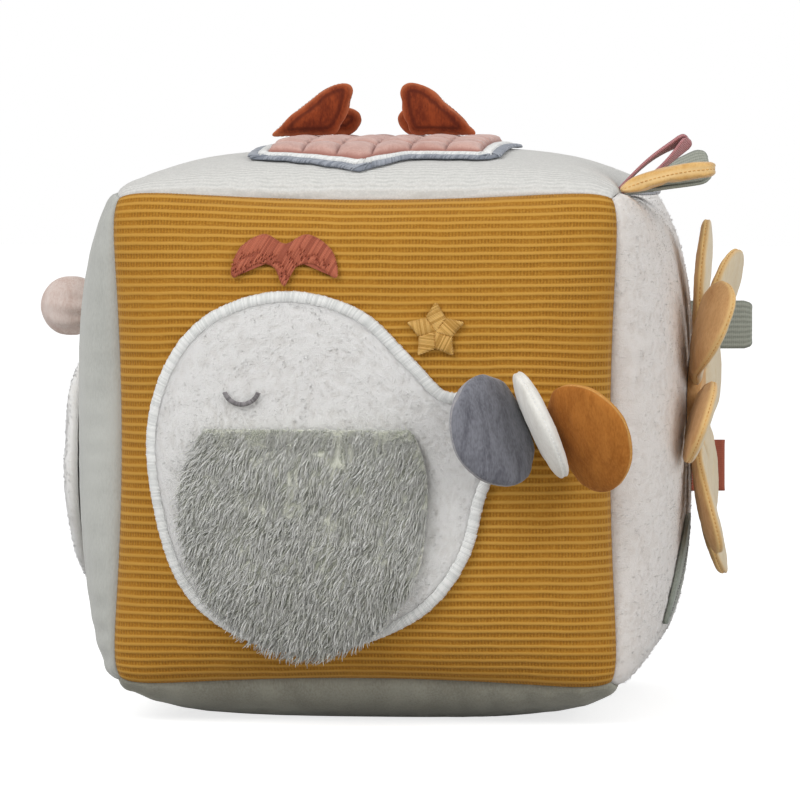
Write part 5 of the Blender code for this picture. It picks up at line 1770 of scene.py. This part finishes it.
for side, order, slide, fan, curl, cloth in (("left", -1, 0.15, -23, -54, grey_blue_velour),
                                             ("middle", 0, 0.03, -5, 6, white_velour),
                                             ("right", 1, -0.27, 11, 44, brown_velour)):
    pads.append(pad_shell("tail_pad_%s_pad" % side, ROUND_HALF_SHARES, TAIL_SIZE, 3.0 * MM,
                          tail_pad_frame(order, slide, fan), cloth, curl))
for number, curl in zip(range(1, PETALS + 1), PETAL_CURLS_DEG):
    petals.append(pad_shell("petal_%d_pad" % number, PETAL_HALF_SHARES, PETAL_SIZE, 2.6 * MM,
                            petal_frame(number), cream_velour, curl, under=peach_velour))
petals.append(pad_shell("yellow_tab_pad", STRAP_HALF_SHARES, YELLOW_SIZE, 3.6 * MM,
                        seam_tab_frame("right", "top", -0.70, PAD_RIM, 23), yellow_velour, -20))
plumped(pads, 1.2, 0.35 * MM)
plumped(petals, 0.6, 0.25 * MM)

# %% Ears, tail pads and petals
SEAM_THREADS = {"ear": dark_thread, "tail_pad_left": pale_thread, "tail_pad_middle": satin_thread,
                "tail_pad_right": orange_thread}
for piece in pads:
    sewing = next(SEAM_THREADS[start] for start in SEAM_THREADS if piece.name.startswith(start))
    dressed_pad(piece, 2.9 * MM if sewing is dark_thread else 1.3 * MM, sewing)
for piece in petals:
    dressed_pad(piece, 1.8 * MM, orange_thread)

# %% [markdown]
# ## The quilted patch on the top
# Quilting is two layers sewn together in a grid, so the cloth puffs into blocks between narrow grooves.
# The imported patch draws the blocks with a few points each. Here each block gets a flat top, steep sides
# and small creases that the stitching pulls in. The front edge hangs in one low point, which the two sewn
# bands follow.

# %% Quilt, its border and its band
QUILT_BLOCKS = (6, 7)
QUILT_STEPS = 13
QUILT_EDGE = 1.3 * MM
QUILT_RISE = 2.3 * MM
QUILT_DROP = 10.0 * MM
BAND_WIDTH = 2.6 * MM
BAND_GAP = 0.3 * MM


def front_drop(u):
    """How far the front edge hangs down, at a share of the width from right to left."""
    away = u - 0.55
    reach = np.where(away < 0, 0.20, 0.42)
    return QUILT_DROP * np.maximum(0.0, 1 - np.abs(away) / reach)


wide, deep = (blocks * QUILT_STEPS for blocks in QUILT_BLOCKS)
u, v = np.meshgrid(np.linspace(0, 1, wide + 1), np.linspace(0, 1, deep + 1))
a = QUILT_PLACE[0] + (u - 0.5) * QUILT_WIDTH
b = QUILT_PLACE[1] + (v - 0.5) * QUILT_DEPTH - front_drop(1 - u) * np.clip(1 - v * 7, 0, 1)
groove_u = np.abs(np.sin(math.pi * u * QUILT_BLOCKS[0]))
groove_v = np.abs(np.sin(math.pi * v * QUILT_BLOCKS[1]))
puff = (groove_u * groove_v) ** 0.30
spots = joined(a, b, 0.0)
crease = cloud(spots, 2.4 * MM, 41) * (1 - puff) * 1.1 + cloud(spots, 5 * MM, 43) * 0.35
lift = QUILT_EDGE + QUILT_RISE * puff * (1 + 0.10 * cloud(spots, 9 * MM, 45))
lift = lift + 0.45 * MM * crease * (puff > 0.05)
top_sheet = cloth_surface("top", a, b, PATCH_LIFT + lift)
low_sheet = cloth_surface("top", a, b, PATCH_LIFT)
quilt = new_piece("pink_quilt_cloth", np.concatenate([top_sheet.reshape(-1, 3), low_sheet.reshape(-1, 3)]),
                  sheet_grid(wide, deep))
face_outwards(quilt)
# The grooves get the dusty pink velour's darker rim colour: painted shade in the grooves.
groove_shade = np.exp(-(np.minimum(groove_u, groove_v) / 0.28) ** 2)
store_attribute(quilt, "rim", np.tile(groove_shade.ravel(), 2))
finish_piece(quilt, rose_velour, "pink_quilt_patch")

half_width, half_depth = QUILT_WIDTH / 2, QUILT_DEPTH / 2
run = np.linspace(0, 1, 20, endpoint=False)
middle_a, middle_b = QUILT_PLACE
quilt_outline = np.concatenate([
    joined(middle_a - half_width, middle_b - half_depth + QUILT_DEPTH * run),
    joined(middle_a - half_width + QUILT_WIDTH * run, middle_b + half_depth),
    joined(middle_a + half_width, middle_b + half_depth - QUILT_DEPTH * run),
    joined(middle_a + half_width - QUILT_WIDTH * run, middle_b - half_depth - front_drop(run))])
for name, near, rise, material, seed in (
        ("quilt_border", BAND_GAP, 1.25 * MM, satin_thread, 5),
        ("blue_stitched_band", 2 * BAND_GAP + BAND_WIDTH, 0.75 * MM, blue_thread, 6)):
    core = band_core(name + "_core", "top", quilt_outline, near - 0.1 * MM, near + BAND_WIDTH + 0.1 * MM,
                     PATCH_LIFT, rise)
    finish_piece(core, material, name)
    starts, ends = across_band(quilt_outline, near - 0.25 * MM, near + BAND_WIDTH + 0.25 * MM, 0.45 * MM,
                               2.0 * MM, seed)
    sewn_stitches(name + "_stitches", name, "top", starts, ends, 0.25 * MM, 0.6 * MM, rise + 0.1 * MM,
                  material)

# %% [markdown]
# ## The left panel's fleece patch and nub
# The fleece patch on the left panel is padded and curly like the front's. The nub is a ball of velour
# gathered by a thread at its root, so its surface is drawn into folds there that die out toward the ball.

# %% Fleece patch and nub
SIDE_PATCH = (86.0 * MM, 72.0 * MM)
SIDE_PATCH_DROP = 13.0 * MM
SIDE_PATCH_RISE = 5.5 * MM


SIDE_RINGS = 64
side_curls = fleece_curls("left", 51)


def side_rise(a, b, share):
    swell = 0.4 + 0.6 * np.sqrt(np.maximum(0, 1 - share ** 2))
    rise = SIDE_PATCH_RISE * swell + FLEECE_CURL * (side_curls(a, b) - 0.35)
    return rise + 0.5 * MM * cloud(joined(a, b, 0.0), 11 * MM, 53)


oval_middle = np.array((0.0, -SIDE_PATCH_DROP))
oval = np.array(SIDE_PATCH) / 2 * circle(190) + oval_middle
sewn_patch("side_fleece_cloth", "side_fleece_patch", "left", oval, oval_middle, SIDE_RINGS, side_rise,
           fleece_cloth, height_at=side_curls)
patch_pile("side_fleece_curls", "side_fleece_patch", "left", oval, oval_middle, SIDE_RINGS,
           lambda a, b, share: PATCH_LIFT + side_rise(a, b, share) - 0.3 * MM, material=fleece_pile,
           strand=curl_strand, seed=12, per_m2=900000, length=1.15 * MM, spread=0.45, toward=(0, 0, -1),
           lean=0.3, lock=5 * MM, lock_lean=1.6)

NUB_LENGTH = 17.5 * MM
NUB_RADIUS = 9.0 * MM
NUB_RISE = 36.5 * MM
NUB_FOLDS = 9
NUB_RINGS = 33
NUB_SPOKES = 64
along = np.linspace(0, 1, NUB_RINGS + 1)
reach = NUB_LENGTH - NUB_RADIUS
angle = np.radians(-58 + 148 * along)
bulb = NUB_RADIUS * np.cos(angle)
stand = reach + NUB_RADIUS * np.sin(angle)
stand[0] = 0.0
bulb[0] = 0.3 * NUB_RADIUS
turns = np.linspace(0, 2 * math.pi, NUB_SPOKES, endpoint=False)
points = [(0.0, 0.0, 0.0)]
for step in range(NUB_RINGS):
    fade = math.exp(-3.2 * along[step])
    for turn in turns:
        folds = 0.13 * math.cos(NUB_FOLDS * turn + 1.5 * math.sin(turn)) + 0.05 * math.cos(4 * turn)
        away = bulb[step] * (1 + fade * folds)
        points.append((stand[step], away * math.cos(turn), away * math.sin(turn)))
points.append((NUB_LENGTH, 0.0, 0.0))
nub_normal = plain_normal("left", 0, NUB_RISE)
nub_frame = frame_at(place_on("left", 0, NUB_RISE) + nub_normal * PIECE_GAP, nub_normal, Vector((0, 0, 1)))
points = set_in(nub_frame, np.array(points))
points[1:-1] += 0.25 * MM * cloud(points[1:-1], 3.5 * MM, 61)[:, None] * np.array((0, 1, 1))
nub = new_piece("pink_nub_velour", points, capped_rings(NUB_SPOKES, NUB_RINGS))
face_outwards(nub)
finish_piece(nub, blush_velour, "pink_nub")

# %% [markdown]
# ## The flower's middle and its leaf
# The petals are sewn to a small padded disc, which shows only when they lift. The leaf is a flat patch of
# sage velour with one row of stitches for its middle rib.

# %% Flower middle and leaf
disc_middle = np.array((0.0, FLOWER_RISE))
disc = disc_middle + FLOWER_RADIUS * circle(72)
sewn_patch("flower_centre_pad", "flower_centre", "right", disc, disc_middle, 12,
           lambda a, b, share: FLOWER_THICKNESS * (0.8 + 0.2 * np.sqrt(1 - share ** 2)), peach_velour,
           rim=0.0)

LEAF_CORNER_SHARES = ((0.50, 0.0), (0.30, 0.34), (0.0, 0.50), (-0.30, 0.34), (-0.50, 0.0), (-0.30, -0.34),
                      (0.0, -0.50), (0.30, -0.34))
LEAF_SIZE = np.array((48.0, 17.0)) * MM
LEAF_PLACE = np.array((-0.26, -0.56)) * HALF
LEAF_THICKNESS = 1.2 * MM
slant = math.radians(40)
leaf_turn = np.array(((math.cos(slant), math.sin(slant)), (-math.sin(slant), math.cos(slant))))
leaf = LEAF_PLACE + closed_curve(np.array(LEAF_CORNER_SHARES) * LEAF_SIZE, 10) @ leaf_turn
sewn_patch("sage_leaf_base", "sage_leaf_patch", "right", leaf, LEAF_PLACE, 5,
           lambda a, b, share: LEAF_THICKNESS, leaf_velour)
places = np.arange(-0.44, 0.40, 0.05) * LEAF_SIZE[0]
starts, ends = (LEAF_PLACE + joined(places + reach, 0.0) @ leaf_turn for reach in (0.0, 1.7 * MM))
sewn_stitches("sage_leaf_rib", "sage_leaf_patch", "right", starts, ends, 1.15 * MM, 0.5 * MM, 0.45 * MM,
              grey_thread)

# %% [markdown]
# ## Ribbons, tapes and the label
# Each is one strip of woven ribbon folded in two, with both ends in the seam. It could be simulated, but
# a short stiff ribbon hardly sags, so its path is drawn: two strands and a turn of a fraction of a
# millimetre. Its texture coordinates are the strip's own length and width in metres, and that is how the
# weave follows the fold. The edges wave a little, as the tension of a seam makes them.

# %% Ribbon strips
STRAIGHT_STEPS = 22
TURN_STEPS = 8
RIBBON_COLUMNS = 12


def folded_path(length, bulge):
    """Points along and beside a ribbon folded in two, its strands bowed apart by the bulge."""
    share = np.linspace(0, 1, STRAIGHT_STEPS + 1)
    near = joined(share * (length - FOLD_RADIUS), FOLD_RADIUS + bulge * np.sin(math.pi * share))
    angle = math.pi / 2 - math.pi * np.arange(1, TURN_STEPS) / TURN_STEPS
    arc = joined(length - FOLD_RADIUS + FOLD_RADIUS * np.cos(angle), FOLD_RADIUS * np.sin(angle))
    return np.concatenate([near, arc, near[::-1] * np.array((1, -1))])


def ribbon_piece(name, node, size, frame, material, twist_deg=0.0, bulge=0.0, tip=0.0, wave=0.10 * MM,
                 twist_power=1.0):
    """A folded strip of the given length and width, its fold narrowed to rounded corners by tip."""
    length, width = size
    path = folded_path(length, bulge)
    ahead = unit(np.gradient(path, axis=0))
    beside = joined(-ahead[:, 1], ahead[:, 0])
    share = np.linspace(-1, 1, RIBBON_COLUMNS + 1)
    near_tip = np.clip(path[:, 0] - (length - tip), 0, tip)
    narrow = tip - np.sqrt(np.maximum(0, tip ** 2 - near_tip ** 2))
    half = width / 2 - narrow[:, None]
    selvedge = 1 + 0.25 * np.exp(-((1 - np.abs(share)) / 0.10) ** 2)
    sheets = []
    for side in (1, -1):
        offset = side * RIBBON_THICKNESS / 2 * selvedge[None, :, None] * beside[:, None, :]
        section = path[:, None, :] + offset
        y = share[None, :] * half + 0 * section[..., 0]
        ripple = wave * np.sin(section[..., 0] / (3.1 * MM) + 2.4 * share[None]) * (path[:, :1] / length)
        x, z = section[..., 0], section[..., 1] + ripple
        turn = math.radians(twist_deg) * np.clip(x / length, 0, 1) ** twist_power
        sheets.append(joined(x, y * np.cos(turn) - z * np.sin(turn), y * np.sin(turn) + z * np.cos(turn)))
    points = set_in(frame, np.concatenate([sheet.reshape(-1, 3) for sheet in sheets]))
    uv = joined(travelled(path)[:, None], share * width / 2).reshape(-1, 2)
    piece = new_piece(name, points, sheet_grid(RIBBON_COLUMNS, len(path) - 1), uv)
    face_outwards(piece)
    return finish_piece(piece, material, node)


stack = 2 * FOLD_RADIUS + RIBBON_THICKNESS
corner_ribbon = ribbon_piece("corner_ribbon", "corner_ribbon_tab", (26.5 * MM, 15.0 * MM),
                             seam_tab_frame("right", "top", -0.31, stack, 18), lengthwise_ribbon,
                             twist_deg=40, tip=4.0 * MM)
side_ribbon = ribbon_piece("side_ribbon", "side_ribbon_tab", (33.5 * MM, 15.0 * MM),
                           seam_tab_frame("right", "back", 0.39, stack, 10), lengthwise_ribbon,
                           tip=2.0 * MM)
label = ribbon_piece("woven_label", "terracotta_label", (25.5 * MM, 16.0 * MM),
                     seam_tab_frame("right", "back", -0.215, stack, 12), label_weave, wave=0.05 * MM)
pale = ribbon_piece("pale_tape", "pale_tab", (8.5 * MM, 16.0 * MM),
                    seam_tab_frame("right", "top", 0.06, stack, 0), pale_tape)
loop = ribbon_piece("pink_ribbon_strip", "pink_ribbon_loop", (25.0 * MM, 6.0 * MM),
                    seam_tab_frame("right", "top", -0.50, stack, 38), rose_ribbon, bulge=1.3 * MM,
                    tip=2.0 * MM, twist_deg=-34, twist_power=3.0)

# %% [markdown]
# ## The filling and the rattle
# The filling never shows. It is the imported halves with a woolly unevenness. The
# rattle's parts are hard plastic, so their imported shapes are final and only get a material.

# %% Filling and rattle
fibre = Cloth("fibre_filling", roughness=1.0, sheen=0.3)
woolly = fibre.between(fibre.noise(3 * MM, 3.0), 0.3, 0.7)
fibre_material = fibre.done(fibre.mix(woolly, "#DAD9D5", "#F0EFEC"))
for half_name in ("lower", "upper"):
    filling = node_copy("stuffing_" + half_name, "fibre_" + half_name)
    finish_piece(filling, fibre_material, "stuffing_" + half_name)
plastic = Cloth("rattle_plastic", roughness=0.4)
plastic_material = plastic.done(linear("#D8D8D6"))
for node_name in ("rattle_case_lower", "rattle_case_upper", "rattle_ball"):
    hard = frame["nodes"][node_name]
    hard.data.materials.clear()
    hard.data.materials.append(plastic_material)
